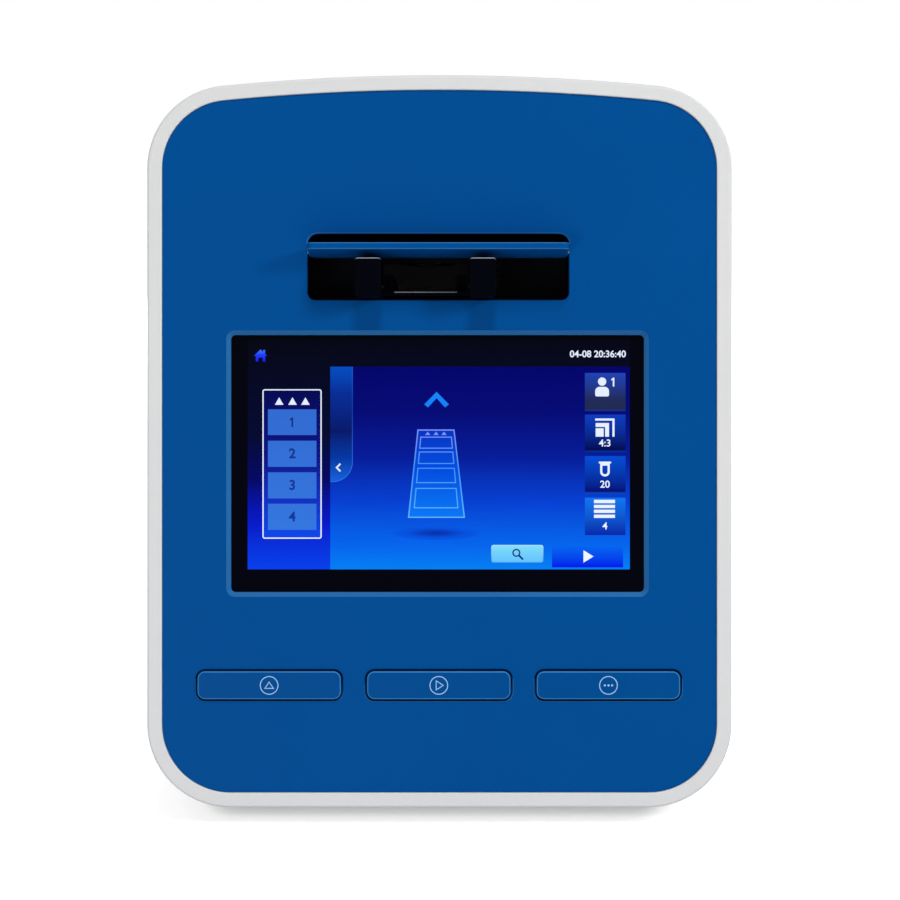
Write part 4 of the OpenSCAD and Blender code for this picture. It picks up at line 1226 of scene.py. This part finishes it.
@dataclass
class KeyRow:
    """The three wide keys and the signs printed on them."""

    front: float = 0.4
    catch_front: float = -3.85
    catch_t: float = 1.2
    catch_rim: float = 4.6
    edge_r: float = 0.45
    hollow: float = 2.2
    core_rim: float = 3.2
    core_r: float = 1.0
    stem_r: float = 2.0
    stem_front: float = 1.1
    stem_back: float = -4.2
    ring_r: float = 3.7
    line_w: float = 0.36
    sign_line: float = 0.9
    dot_pitch: float = 1.45
    dot_r: float = 0.42
    ink_t: float = 0.03

    def build(self, shop: Workshop) -> None:
        """Models the first cap, copies it for the other keys and prints their signs."""
        first = self.cap(KEYS[0].name + "_cap")
        caps = [first] + [first.copy(key.name + "_cap") for key in KEYS[1:]]
        for cap, key in zip(caps, KEYS):
            cap.settle(Matrix.Translation((key.u, KEY_V, 0.0)))
            cap.settle(PANEL).shade()
            shop.install(cap, BLUE_KEY, key.body, key.name, BLUE_KEY_HIGHLIGHT)
            shop.install(self.sign(key).settle(PANEL), PRINT_INK, key.body)

    def cap(self, name: str) -> Piece:
        """Models a hollow cap with a catch flange and a stem, about its own centre."""

        def slab(part: str, rim: float, radius: float, low: float, high: float) -> Piece:
            """A block of the cap's shape, wider all round by half a rim."""
            width, height = [side + rim for side in KEY_SIZE]
            return solid(part, centred((0.0, 0.0), width, height, radius), low, high)

        back = self.catch_front - self.catch_t
        cap = slab(name, 0.0, KEY_R, back, self.front)
        cap.pick_rim(self.front)
        # The rounded front rim takes the painted highlight.
        cap.bevel(self.edge_r, 4, painted_highlight=True)
        cap.fuse(slab("catch", self.catch_rim, KEY_R, back, self.catch_front))
        cap.cut(slab("core", -self.core_rim, self.core_r, back - OVER, self.front - self.hollow))
        ends = (0.0, 0.0, self.front - self.stem_front), (0.0, 0.0, self.stem_back)
        return cap.fuse(bar("stem", *ends, self.stem_r, 24))

    def sign(self, key: Key) -> Piece:
        """Prints the ring and its sign on the cap of a key."""
        u, v = key.u, KEY_V
        depth = self.front, self.front + self.ink_t
        mark = ring(key.name + "_sign", circle((u, v), self.ring_r, 48), self.line_w, *depth)
        if key.sign is Sign.MORE:
            spots = [(u + i * self.dot_pitch, v) for i in (-1, 0, 1)]
            return mark.join(*(solid("dot", circle(spot, self.dot_r, 16), *depth) for spot in spots))
        shape = polygon([(u + x, v + y) for x, y in key.sign.value])
        return mark.join(ring("sign", shape, self.line_w * self.sign_line, *depth))


# ---------------------------------------------------------------- slide port


@dataclass
class PortDoor:
    """The flap door, standing open on its pin."""

    low: Point = (-52.0, 56.65)
    high: Point = (51.1, 82.05)
    corner_r: float = 3.55
    lower_r: float = 2.55
    face: float = -1.2
    thickness: float = 2.7
    edge_r: float = 0.4
    opening: float = math.radians(94.0)

    def build(self, shop: Workshop) -> None:
        """Models the door shut, swings it open about its pin and mounts it."""
        back = self.face - self.thickness
        path = rounded(self.low, self.high, self.corner_r, 8, self.lower_r)
        door = solid("port_flap_door", path, back, self.face)
        # The rounded edges of both faces take the painted highlight.
        for depth in (self.face, back):
            door.pick_rim(depth)
            door.bevel(self.edge_r, 4, painted_highlight=True)
        ends = (self.low[0] - OVER, *HINGE), (self.high[0] + OVER, *HINGE)
        door.cut(bar("bore", *ends, PIN_BORE_R, 24))
        pin = Matrix.Translation((0.0, *HINGE))
        door.settle(pin @ Matrix.Rotation(-self.opening, 4, "X") @ pin.inverted())
        door.settle(PANEL).shade()
        shop.install(door, BLUE_PAINT, "door", "port_door", BLUE_PAINT_HIGHLIGHT)


@dataclass
class SlideTray:
    """The motorised tray, standing ejected: two grooved arms, a bed, channel rails and ears."""

    centre_u: float = -5.45
    width: float = 55.6
    arm_size: Point = (10.5, 15.2)
    arm_r: float = 1.2
    arm_front: float = 15.0
    arm_back: float = -19.0
    floor: float = 56.8
    bed: Point = (57.6, 59.4)
    bed_front: float = 1.5
    back: float = -74.972
    groove: Point = (59.2, 63.3)
    groove_depth: float = 3.6
    groove_stop: float = 1.6
    channel_w: float = 25.4
    rail_w: float = 4.0
    rail_h: float = 7.0
    rail_front: float = -6.0
    stop_h: float = 3.0
    stop_l: float = 4.0
    window_r: float = 8.5
    window_w: float = -25.0
    rod_v: float = 62.3
    rod_reach: float = 35.5
    rod_bore_r: float = 2.55
    ear_r: float = 5.5
    ear_l: float = 8.0
    ear_starts: Point = (-73.972, -55.972)
    web_h: float = 5.0
    web_sink: float = 3.0
    yoke_half: float = 4.2
    screw_offset: float = 12.0
    nut_bore_r: float = 3.8
    nut_boss_r: float = 6.0
    sink: float = 0.5
    bore_lead: float = 1.5
    edge_r: float = 0.45
    # Least upward lean of a rounded edge's face that keeps the painted highlight.
    painted_highlight_rise: float = 0.3

    def build(self, shop: Workshop) -> None:
        """Models the tray and mounts it."""
        tray = self.deck().fuse(*self.ears()).cut(*self.bores())
        tray.settle(PANEL).shade()
        shop.install(tray, BLACK_ACETAL, "tray", "slide_tray", BLACK_ACETAL_HIGHLIGHT)

    def deck(self) -> Piece:
        """The arms, the bed between them and the channel for a slide."""
        u, half, lane = self.centre_u, self.width / 2, self.channel_w / 2
        arm_w, (low, top) = self.arm_size[0], self.bed
        front = self.arm_back + OVER
        tray = block("slide_tray_body", (u - half, low, self.back), (u + half, top, front))
        tray.allow_painted_highlight()
        bed = block("bed", (u - lane, low, self.arm_back), (u + lane, top, self.bed_front))
        self._break_front(bed, self.bed_front)
        tray.fuse(bed)
        roots = u - half + arm_w - OVER, u + half - arm_w + OVER
        for start, end in ((roots[0], u - lane), (u + lane, roots[1])):
            tray.fuse(block("bed_side", (start, low, self.arm_back), (end, top, self.bed_front)))
        for side in SIDES:
            near, far = u + side * lane, u + side * (lane + self.rail_w)
            high = top + self.rail_h
            rail = block("rail", (near, low, self.back), (far, high, self.rail_front))
            tray.fuse(self.arm(side), rail)
        start = (u - lane - self.sink, low, self.back)
        end = (u + lane + self.sink, top + self.stop_h, self.back + self.stop_l)
        return tray.fuse(block("stop", start, end))

    def arm(self, side: int) -> Piece:
        """One arm, with a groove along its inner side."""
        u, (width, height), (low, high) = self.centre_u, self.arm_size, self.groove
        root = self.width / 2 - width
        centre = (u + side * (self.width - width) / 2, self.floor + height / 2)
        path = centred(centre, width, height, self.arm_r, 5)
        arm = solid("arm", path, self.arm_back, self.arm_front)
        self._break_front(arm, self.arm_front)
        start = (u + side * (root - self.sink), low, self.arm_back - self.sink)
        end = (u + side * (root + self.groove_depth), high, self.arm_front - self.groove_stop)
        return arm.cut(block("groove", start, end))

    def _break_front(self, piece: Piece, front: float) -> None:
        """Rounds the edges around a front face and keeps a painted highlight on the upward-facing
        ones.
        """
        piece.pick_rim(front)
        piece.bevel(self.edge_r, 2, painted_highlight=True)
        for face in piece.obj.data.polygons:
            if face.normal.y < self.painted_highlight_rise:
                face.material_index = 0

    def ears(self) -> list[Piece]:
        """The sliding ears on the two rods, and the boss that holds the nut."""
        u, v, low = self.centre_u, self.rod_v, self.bed[0]
        parts = []
        for start in self.ear_starts:
            end = start + self.ear_l
            for side in SIDES:
                rod, root = u + side * self.rod_reach, u + side * (self.width / 2 - self.web_sink)
                parts.append(bar("ear", (rod, v, start), (rod, v, end), self.ear_r))
                parts.append(block("web", (rod, low, start), (root, low + self.web_h, end)))
        start, rod = self.ear_starts[0], u + self.rod_reach
        end, screw = start + self.ear_l, rod + self.screw_offset
        half = self.yoke_half
        parts.append(block("yoke", (rod, v - half, start), (screw, v + half, end)))
        parts.append(bar("boss", (screw, v, start), (screw, v, end), self.nut_boss_r))
        return parts

    def bores(self) -> list[Piece]:
        """The light window, the rods' bores and the nut's bore."""
        u, v, (low, top) = self.centre_u, self.rod_v, self.bed
        start = self.ear_starts[0] - self.bore_lead
        first, last = [ear + self.ear_l + self.sink for ear in self.ear_starts]
        rods = [u + side * self.rod_reach for side in SIDES]
        screw = rods[1] + self.screw_offset
        ends = (u, low - OVER, self.window_w), (u, top + OVER, self.window_w)
        return [
            bar("window", *ends, self.window_r, 64),
            *(bar("bore", (x, v, start), (x, v, last), self.rod_bore_r) for x in rods),
            bar("bore", (screw, v, start), (screw, v, first), self.nut_bore_r),
        ]


# ---------------------------------------------------------------- display

Dots = Sequence[Point]
Box = tuple[float, float, float, float]


@dataclass
class Display:
    """What the lit screen shows, in thin layers on the cover glass. Columns and rows are its dots.

    A box is given by its left, top, right and bottom edges.
    """

    COLUMNS = 800.0
    ROWS = 480.0
    LEFT_U = -76.5
    TOP_V = 40.6
    DOT_U = 0.1905
    DOT_V = 0.19104
    GLASS_W = -3.8
    DIGIT_HEIGHT = 0.72
    film: float = 0.03
    ring_line: float = 0.55

    @classmethod
    def spot(cls, column: float, row: float) -> Point:
        """Where a dot lies on the panel."""
        return cls.LEFT_U + column * cls.DOT_U, cls.TOP_V - row * cls.DOT_V

    def level(self, layer: int) -> Point:
        """Back and front depth of a layer."""
        return self.GLASS_W + layer * self.film, self.GLASS_W + (layer + 1) * self.film

    def box(self, box: Box, radius: float = 0.0, steps: int = 5, lower: float = -1.0) -> Path:
        """The outline of a box, with round corners where it has a radius."""
        left, top, right, bottom = box
        low, high = self.spot(left, bottom), self.spot(right, top)
        if radius:
            return rounded(low, high, radius, steps, lower)
        return polygon([low, (high[0], low[1]), high, (low[0], high[1])])

    def fill(self, path: Path, layer: int) -> Piece:
        """A filled outline in a layer."""
        return solid("fill", path, *self.level(layer))

    def line(self, path: Path, dots: float, layer: int) -> Piece:
        """A line along the inside of an outline, as wide as some dots."""
        return ring("line", path, dots * self.DOT_U, *self.level(layer))

    def area(self, box: Box, layer: int, radius: float = 0.0) -> Piece:
        """A filled box."""
        return self.fill(self.box(box, radius), layer)

    def stack(self, left: float, right: float, rows: Dots, layer: int) -> list[Piece]:
        """Filled boxes one under another, each between two rows."""
        return [self.area((left, top, right, bottom), layer) for top, bottom in rows]

    def outline(self, dots: Dots) -> Path:
        """A closed outline through dots."""
        return polygon([self.spot(*dot) for dot in dots])

    def shape(self, dots: Dots, layer: int) -> Piece:
        """A filled polygon of dots."""
        return self.fill(self.outline(dots), layer)

    def tips(self, columns: Sequence[float], half: float, rows: Point, layer: int) -> list[Piece]:
        """Filled arrowheads that point up, side by side, between a low and a high row."""
        low, high = rows
        return [self.shape([(x - half, low), (x + half, low), (x, high)], layer) for x in columns]

    def readout(
        self, text: str, place: Point, height: float, layer: int, bold: float, align: str = "CENTER"
    ) -> Piece:
        """Digits of the display.

        Args:
            text: digits and the marks between them.
            place: column and row of their middle, or of their edge.
            height: height of a digit, in dots.
            layer: layer that they are drawn in.
            bold: how far their strokes are thickened, in millimetres.
            align: what lies at the column: the middle, the left or the right edge.

        Returns:
            The digits.
        """
        rest_hands()
        bpy.ops.object.text_add(location=(*self.spot(*place), self.level(layer)[0]))
        letters = bpy.context.object.data
        letters.body = text
        letters.size = height * self.DOT_V / self.DIGIT_HEIGHT
        letters.offset = bold
        letters.align_x, letters.align_y = align, "CENTER"
        letters.extrude = self.film / 2
        letters.resolution_u = 5
        bpy.ops.object.convert(target="MESH")
        piece = Piece("readout")
        piece.apply_place()
        piece.outward()
        return piece

    def build(self, shop: Workshop) -> None:
        """Draws every layer and mounts it."""
        for name, draw in self.drawings().items():
            first, *others = draw()
            piece = first.join(*others)
            piece.rename("display_" + name)
            shop.install(piece.settle(PANEL), BACKLIGHTS[name])

    def drawings(self) -> dict[str, Callable[[], list[Piece]]]:
        """What draws each layer, by the layer's name."""
        right, foot = self.COLUMNS, self.ROWS
        channels = ((146, 199.6), (211.5, 266), (277.5, 332), (343, 397.6))
        tiles = ((70, 149.5), (157, 235), (243.5, 321.5), (330.5, 408.5))
        slide = ((336.5, 371.5), (454, 371.5), (432, 189), (356.5, 189))
        return {
            "ground": lambda: [self.area((0, 0, right, foot), 0)],
            "field": lambda: [self.area((173, 57, right, foot), 1)],
            "box": lambda: [self.area((31, 104, 155, 416), 1, 0.9)],
            "tab": lambda: [self._tab(0.0, 3)],
            "tab_edge": lambda: [self._tab(1.6, 2)],
            "channels": lambda: self.stack(42.5, 144, channels, 2),
            "numerals": self._numerals,
            "tiles": lambda: self.stack(706, 791, tiles, 2),
            "marks": self._marks,
            "pool": self._pool,
            "slide": lambda: [self.shape(slide, 3)],
            "slide_lines": self._slide_lines,
            "arrow": lambda: [self._chevron((395.5, 109.5), 25.7, 32.5, 13, 2)],
            "home": self._home,
            "soft_key": lambda: [self.area((511, 430, 618, 465), 2, 0.7)],
            "soft_key_edge": lambda: [self.line(self.box((510, 429, 619, 466), 0.9), 1.6, 3)],
            "magnifier": self._magnifier,
            "start_key": lambda: [self.area((637, 433, 786, 476), 2)],
        }

    def _tab(self, grow: float, layer: int) -> Piece:
        """The side tab, or the wider one that shows around it, with one wide round corner."""
        low, high = self.spot(173, 296 + grow), self.spot(218.5 + grow, 57)
        radius = (40 + grow) * self.DOT_U
        start = (high[0] - radius, low[1])
        arc = Arc((high[0] - radius, low[1] + radius), QUARTER, 14)
        corners = (high, (low[0], high[1]), low, start)
        return self.fill(Path(start, (arc, *(Line(corner) for corner in corners))), layer)

    def _numerals(self) -> list[Piece]:
        """The channels' numerals."""
        rows = {"2": 239, "3": 305, "4": 371}
        return [self._one((93.5, 173), 20.0, 3)] + [
            self.readout(digit, (93.5, row), 20.5, 3, 0.13) for digit, row in rows.items()
        ]

    def _one(self, place: Point, height: float, layer: int) -> Piece:
        """The numeral one, with a flag on its stem."""
        (x, y), half, stem = place, height / 2, height * 0.09
        dots = [
            (x - stem, y + half),
            (x + stem, y + half),
            (x + stem, y - half),
            (x - stem * 0.6, y - half),
            (x - height * 0.28, y - half + height * 0.2),
            (x - height * 0.22, y - half + height * 0.34),
            (x - stem, y - half + height * 0.25),
        ]
        return self.shape(dots, layer)

    def _marks(self) -> list[Piece]:
        """Every white line, sign and readout."""
        return [
            self.line(self.box((31, 104, 155, 416), 0.9), 2.5, 2),
            *self.tips((66, 94, 121), 9, (136.5, 121), 2),
            self._chevron((184, 267.5), 9.2, 11.3, 4.6, 4, sideways=True),
            *self._icons(),
            self.shape([(703, 440), (703, 466), (724, 453)], 3),
            self.readout("04-08 20:36:40", (792, 31), 14.0, 1, 0.08, "RIGHT"),
        ]

    def _icons(self) -> list[Piece]:
        """The signs on the square keys: a person, a zoom frame, a sample tube and a list."""
        rows = ((334.8, 341.8), (345.4, 352), (355.4, 362.2), (365.8, 372.6))
        captions = (("4:3", 217), ("20", 303), ("4", 390))
        return [
            self.fill(circle(self.spot(742, 88), 8.7 * self.DOT_U, 24), 3),
            self.fill(self.box((727.5, 99, 756.5, 119), 1.75, 8, 0.7), 3),
            self._one((766, 89), 18.5, 3),
            self._elbow((727.5, 165), (768, 203), 4.4),
            self.area((763.5, 198.6, 768, 203), 3),
            self._elbow((728.5, 174.5), (756.5, 203), 8.2),
            self.area((728.5, 185.5, 745.2, 203), 3),
            self.area((735, 255, 761, 259), 3, 0.3),
            self.line(self.box((738, 259, 758, 286), 0.2, 8, 1.85), 4.5, 3),
            *self.stack(725, 769, rows, 3),
            *(self.readout(text, (748, row), 15.0, 3, 0.06) for text, row in captions),
        ]

    def _elbow(self, corner: Point, end: Point, line: float) -> Piece:
        """A line that runs right along the top and down the right side."""
        (x0, y0), (x1, y1) = corner, end
        dots = [(x0, y0), (x1, y0), (x1, y1), (x1 - line, y1), (x1 - line, y0 + line), (x0, y0 + line)]
        return self.shape(dots, 3)

    def _pool(self) -> list[Piece]:
        """The soft shadow under the slide, an ellipse as wide as its reach."""
        half_w, half_h = POOL.reach[0] * self.DOT_U, POOL.reach[1] * self.DOT_V
        pool = self.fill(circle((0.0, 0.0), half_w, 64), 2)
        squash = Matrix.Diagonal((1.0, half_h / half_w, 1.0, 1.0))
        return [pool.settle(Matrix.Translation((*self.spot(*POOL.centre), 0.0)) @ squash)]

    def _slide_lines(self) -> list[Piece]:
        """The outline of the receding slide, its four chambers and three marks."""
        edge = self.outline([(335.5, 372.5), (455, 372.5), (433, 188), (355.5, 188)])
        chambers = ((203, 228), (234, 260), (268, 300), (310, 352.5))
        return [
            self.line(edge, 2.4, 4),
            *(self.line(self._chamber(*rows), 2.0, 4) for rows in chambers),
            *self.tips((377, 394.5, 411), 5.5, (199.5, 192.5), 4),
        ]

    def _chamber(self, top: float, bottom: float) -> Path:
        """Outline of a chamber between two rows of the receding slide."""
        middle, first, half, widening = 394.5, 203, 33, 0.092
        near, far = [half + (row - first) * widening for row in (bottom, top)]
        dots = [(-near, bottom), (near, bottom), (far, top), (-far, top)]
        return self.outline([(middle + x, row) for x, row in dots])

    def _chevron(
        self, tip: Point, reach: float, drop: float, line: float, layer: int, sideways: bool = False
    ) -> Piece:
        """An open arrowhead.

        Args:
            tip: its point.
            reach: half its spread.
            drop: its length from point to tails.
            line: length of the cut along its stroke.
            layer: layer that it is drawn in.
            sideways: whether it points left, and not up.

        Returns:
            The arrowhead.
        """
        tail, notch = drop - line / 2, reach - line * 0.6
        dots = [(-reach, tail), (-notch, drop), (0, line), (notch, drop), (reach, tail), (0, 0)]
        x, y = tip
        if sideways:
            return self.shape([(x + b, y - a) for a, b in dots], layer)
        return self.shape([(x + a, y + b) for a, b in dots], layer)

    def _home(self) -> list[Piece]:
        """The house sign in the top bar."""
        half = [(4.5, 38), (4.5, 46), (10, 46), (10, 34.5), (14, 34.5)]
        left = [(27 - x, y) for x, y in (*half, (0, 21))]
        right = [(27 + x, y) for x, y in reversed(half)]
        chimney = [(32.5, 26.3), (32.5, 22), (36.5, 22), (36.5, 30.2)]
        return [self.shape(left + chimney + right, 1)]

    def _magnifier(self) -> list[Piece]:
        """The magnifier on the soft key."""
        column, row = 562.5, 445.5
        near, far, wide = 4.6, 12.6, 2.8
        lens = circle(self.spot(column, row), 8.5 * self.DOT_U, 28)
        corners = [(near, near + wide), (near + wide, near), (far + wide, far), (far, far + wide)]
        handle = [(column + x, row + y) for x, y in corners]
        return [ring("lens", lens, self.ring_line, *self.level(3)), self.shape(handle, 3)]


POOL = Pool("pool", {0.0: "#025aec", 0.35: "#0252e2", 0.75: "#033cbe", 1.0: "#0431a8"})

# The backlight of each layer of the display, by the layer's name.
BACKLIGHTS: dict[str, Backlight] = {
    "ground": Backlight(
        "ground", {0: "#03040f", 205: "#020730", 297: "#010665", 389: "#0519ce", 480: "#0440f0"}
    ),
    "field": Backlight(
        "field",
        {
            57: "#00016c", 160: "#020979", 252: "#031c9d", 343: "#0341d7", 435: "#0268f3",
            480: "#0180f8",
        },
    ),
    "box": Backlight("box", {104: "#02064f", 252: "#0c1389", 343: "#1033c8", 416: "#0c48ee"}),
    "tab": Backlight(
        "tab", {58: "#0150c8", 114: "#052e9a", 195: "#05186c", 252: "#0139a7", 296: "#1460dc"}
    ),
    "tab_edge": Backlight("tab_edge", {58: "#1565da", 150: "#0c3fae", 300: "#2e7aee"}),
    "channels": Backlight("channel", {140: "#326bd2", 400: "#3477e1"}, 0.04),
    "numerals": Backlight("numeral", {140: "#12307f", 400: "#12379a"}, 0.0),
    "tiles": Backlight(
        "tile",
        {
            70: "#1f46bb", 127: "#222c5d", 149: "#202b52", 157: "#0c3fc8", 234: "#00054e",
            243: "#0150dc", 321: "#020a79", 330: "#0f7bf9", 408: "#062bb0",
        },
    ),
    "marks": Backlight("white", {0: "#e4ecff", 480: "#eef8ff"}, 0.0),
    "pool": POOL,
    "slide": Backlight("slide", {189: "#0332c6", 280: "#0050e5", 371: "#0679fa"}),
    "slide_lines": Backlight("slide_line", {189: "#7d94fa", 270: "#3f9cfc", 371: "#62b8ff"}, 0.0),
    "arrow": Backlight("arrow", {110: "#1688ff", 145: "#1480fa"}, 0.04),
    "home": Backlight("home", {20: "#4a8cff", 36: "#1c3cff", 47: "#1822f0"}, 0.04),
    "soft_key": Backlight("soft_key", {430: "#8ae6fd", 447: "#74d4fc", 465: "#67c7ff"}, 0.03),
    "soft_key_edge": Backlight("soft_key_edge", {430: "#b4f0ff", 466: "#4f9ef0"}, 0.0),
    "magnifier": Backlight("soft_key_sign", {430: "#122a78", 466: "#122a78"}, 0.0),
    "start_key": Backlight("start_key", {433: "#0168f4", 476: "#001ff3"}),
}


# ---------------------------------------------------------------- studio


@dataclass(frozen=True)
class Lamp:
    """A soft studio lamp.

    Args:
        name: its name.
        place: where it stands in the panel's frame, in millimetres.
        power: its power in watts.
        size: side of its square face, in metres.
    """

    name: str
    place: tuple[float, float, float]
    power: float
    size: float

    def hang(self) -> None:
        """Adds the lamp, aims it at the panel's middle and hides it from the camera."""
        rest_hands()
        place = PANEL @ Vector(self.place)
        bpy.ops.object.light_add(type="AREA", location=place)
        lamp = bpy.context.object
        lamp.name = self.name
        lamp.data.energy = self.power
        lamp.data.size = self.size
        lamp.visible_camera = False
        lamp.rotation_euler = (PANEL.translation - place).to_track_quat("-Z", "Y").to_euler()


@dataclass
class Studio:
    """The camera, the lamps, the world and the floor."""

    camera_u: float = 4.2
    camera_v: float = -3.5
    camera_w: float = 1070.0
    lens_mm: float = 107.7
    sensor_mm: float = 36.0
    world_level: float = 0.27
    floor_glow: tuple[float, float] = (0.78, 0.92)
    glow_span: tuple[float, float] = (0.35, 1.3)
    # Reach and darkest level of the painted contact shadow on the floor.
    painted_shadow_reach: float = 6.0
    painted_shadow_floor: float = 0.22
    floor_side: float = 9.0
    fibre_scale: float = 900.0
    lamps: tuple[Lamp, ...] = (
        Lamp("key_lamp", (1090.0, 510.0, 890.0), 7.6, 0.28),
        Lamp("top_lamp", (100.0, 2300.0, 1700.0), 38.0, 0.45),
        Lamp("low_lamp", (-300.0, -200.0, 850.0), 1.45, 0.22),
        Lamp("back_lamp", (-500.0, 700.0, -1500.0), 8.0, 1.0),
    )

    def build(self) -> None:
        """Sets up the camera, the lamps, the world and the floor."""
        self.camera()
        for lamp in self.lamps:
            lamp.hang()
        self.world()
        self.floor()
        bpy.context.scene.view_settings.view_transform = "Standard"

    def camera(self) -> None:
        """Places the camera square to the panel, at the height that shows it straight on."""
        data = bpy.data.cameras.new("camera")
        data.sensor_width = self.sensor_mm
        data.lens = self.lens_mm
        camera = bpy.data.objects.new("camera", data)
        bpy.context.scene.collection.objects.link(camera)
        place = PANEL @ Vector((self.camera_u, self.camera_v, self.camera_w))
        camera.matrix_world = Matrix.Translation(place) @ Matrix.Rotation(QUARTER - LEAN, 4, "X")
        bpy.context.scene.camera = camera

    def world(self) -> None:
        """A plain grey light for the object, white to the camera, in metal and through glass."""
        world = bpy.data.worlds.new("studio")
        wiring = Wiring(world)
        bpy.context.scene.world = world
        path = wiring.add("LightPath", {}).outputs
        seen = wiring.math("MAXIMUM", path["Is Camera Ray"], path["Is Transmission Ray"])
        seen = wiring.math("MAXIMUM", seen, path["Is Glossy Ray"])
        level = wiring.remap(seen, to_min=self.world_level)
        wiring.dress({"Color": linear("#ffffff"), "Strength": level}, "Background")

    def floor(self) -> None:
        """A plain pale floor that is white to the camera and keeps the object's lamp shadow, with a
        painted contact shadow: ambient occlusion darkens its glow under and around the object.
        """
        rest_hands()
        bpy.ops.mesh.primitive_plane_add(size=self.floor_side, location=(0.0, 0.0, 0.0))
        floor = Piece("studio_floor")
        material, wiring = new_material("matt_white_paper", "#efefef")
        place = wiring.place()
        fibre = wiring.noise(place, self.fibre_scale, 2.0)
        tone = wiring.mix(fibre, linear("#efefef"), linear("#ebebec"))
        seen = wiring.add("LightPath", {}).outputs["Is Camera Ray"]
        reach = wiring.add("VectorMath", {0: place}, operation="LENGTH").outputs["Value"]
        (near, far), (dim, bright) = self.glow_span, self.floor_glow
        sweep = wiring.remap(reach, from_min=near, from_max=far, to_min=dim, to_max=bright)
        # Painted contact shadow: the glow is scaled down by ambient occlusion near the object.
        sky = wiring.add("AmbientOcclusion", {"Distance": self.painted_shadow_reach * MM}, samples=8)
        painted_contact_shadow = wiring.remap(sky.outputs["AO"], to_min=self.painted_shadow_floor)
        glow = wiring.math("MULTIPLY", seen, wiring.math("MULTIPLY", sweep, painted_contact_shadow))
        wiring.dress(
            {
                "Base Color": tone,
                "Emission Color": tone,
                "Emission Strength": glow,
                "Roughness": 0.9,
                "Specular IOR Level": 0.0,
            }
        )
        floor.obj.data.materials.append(material)


def main() -> None:
    """Builds the studio and every sub-assembly in order."""
    logging.basicConfig(level=logging.INFO, format="%(name)s %(message)s")
    shop = Workshop()
    Studio().build()
    assemblies = (
        FrontFrame(), FrontPanel(), RearHousing(), RearScrews(), KeyRow(), PortDoor(),
        SlideTray(), Display(),
    )
    for assembly in assemblies:
        assembly.build(shop)
    shop.dress_frame()


if __name__ == "__main__":
    main()
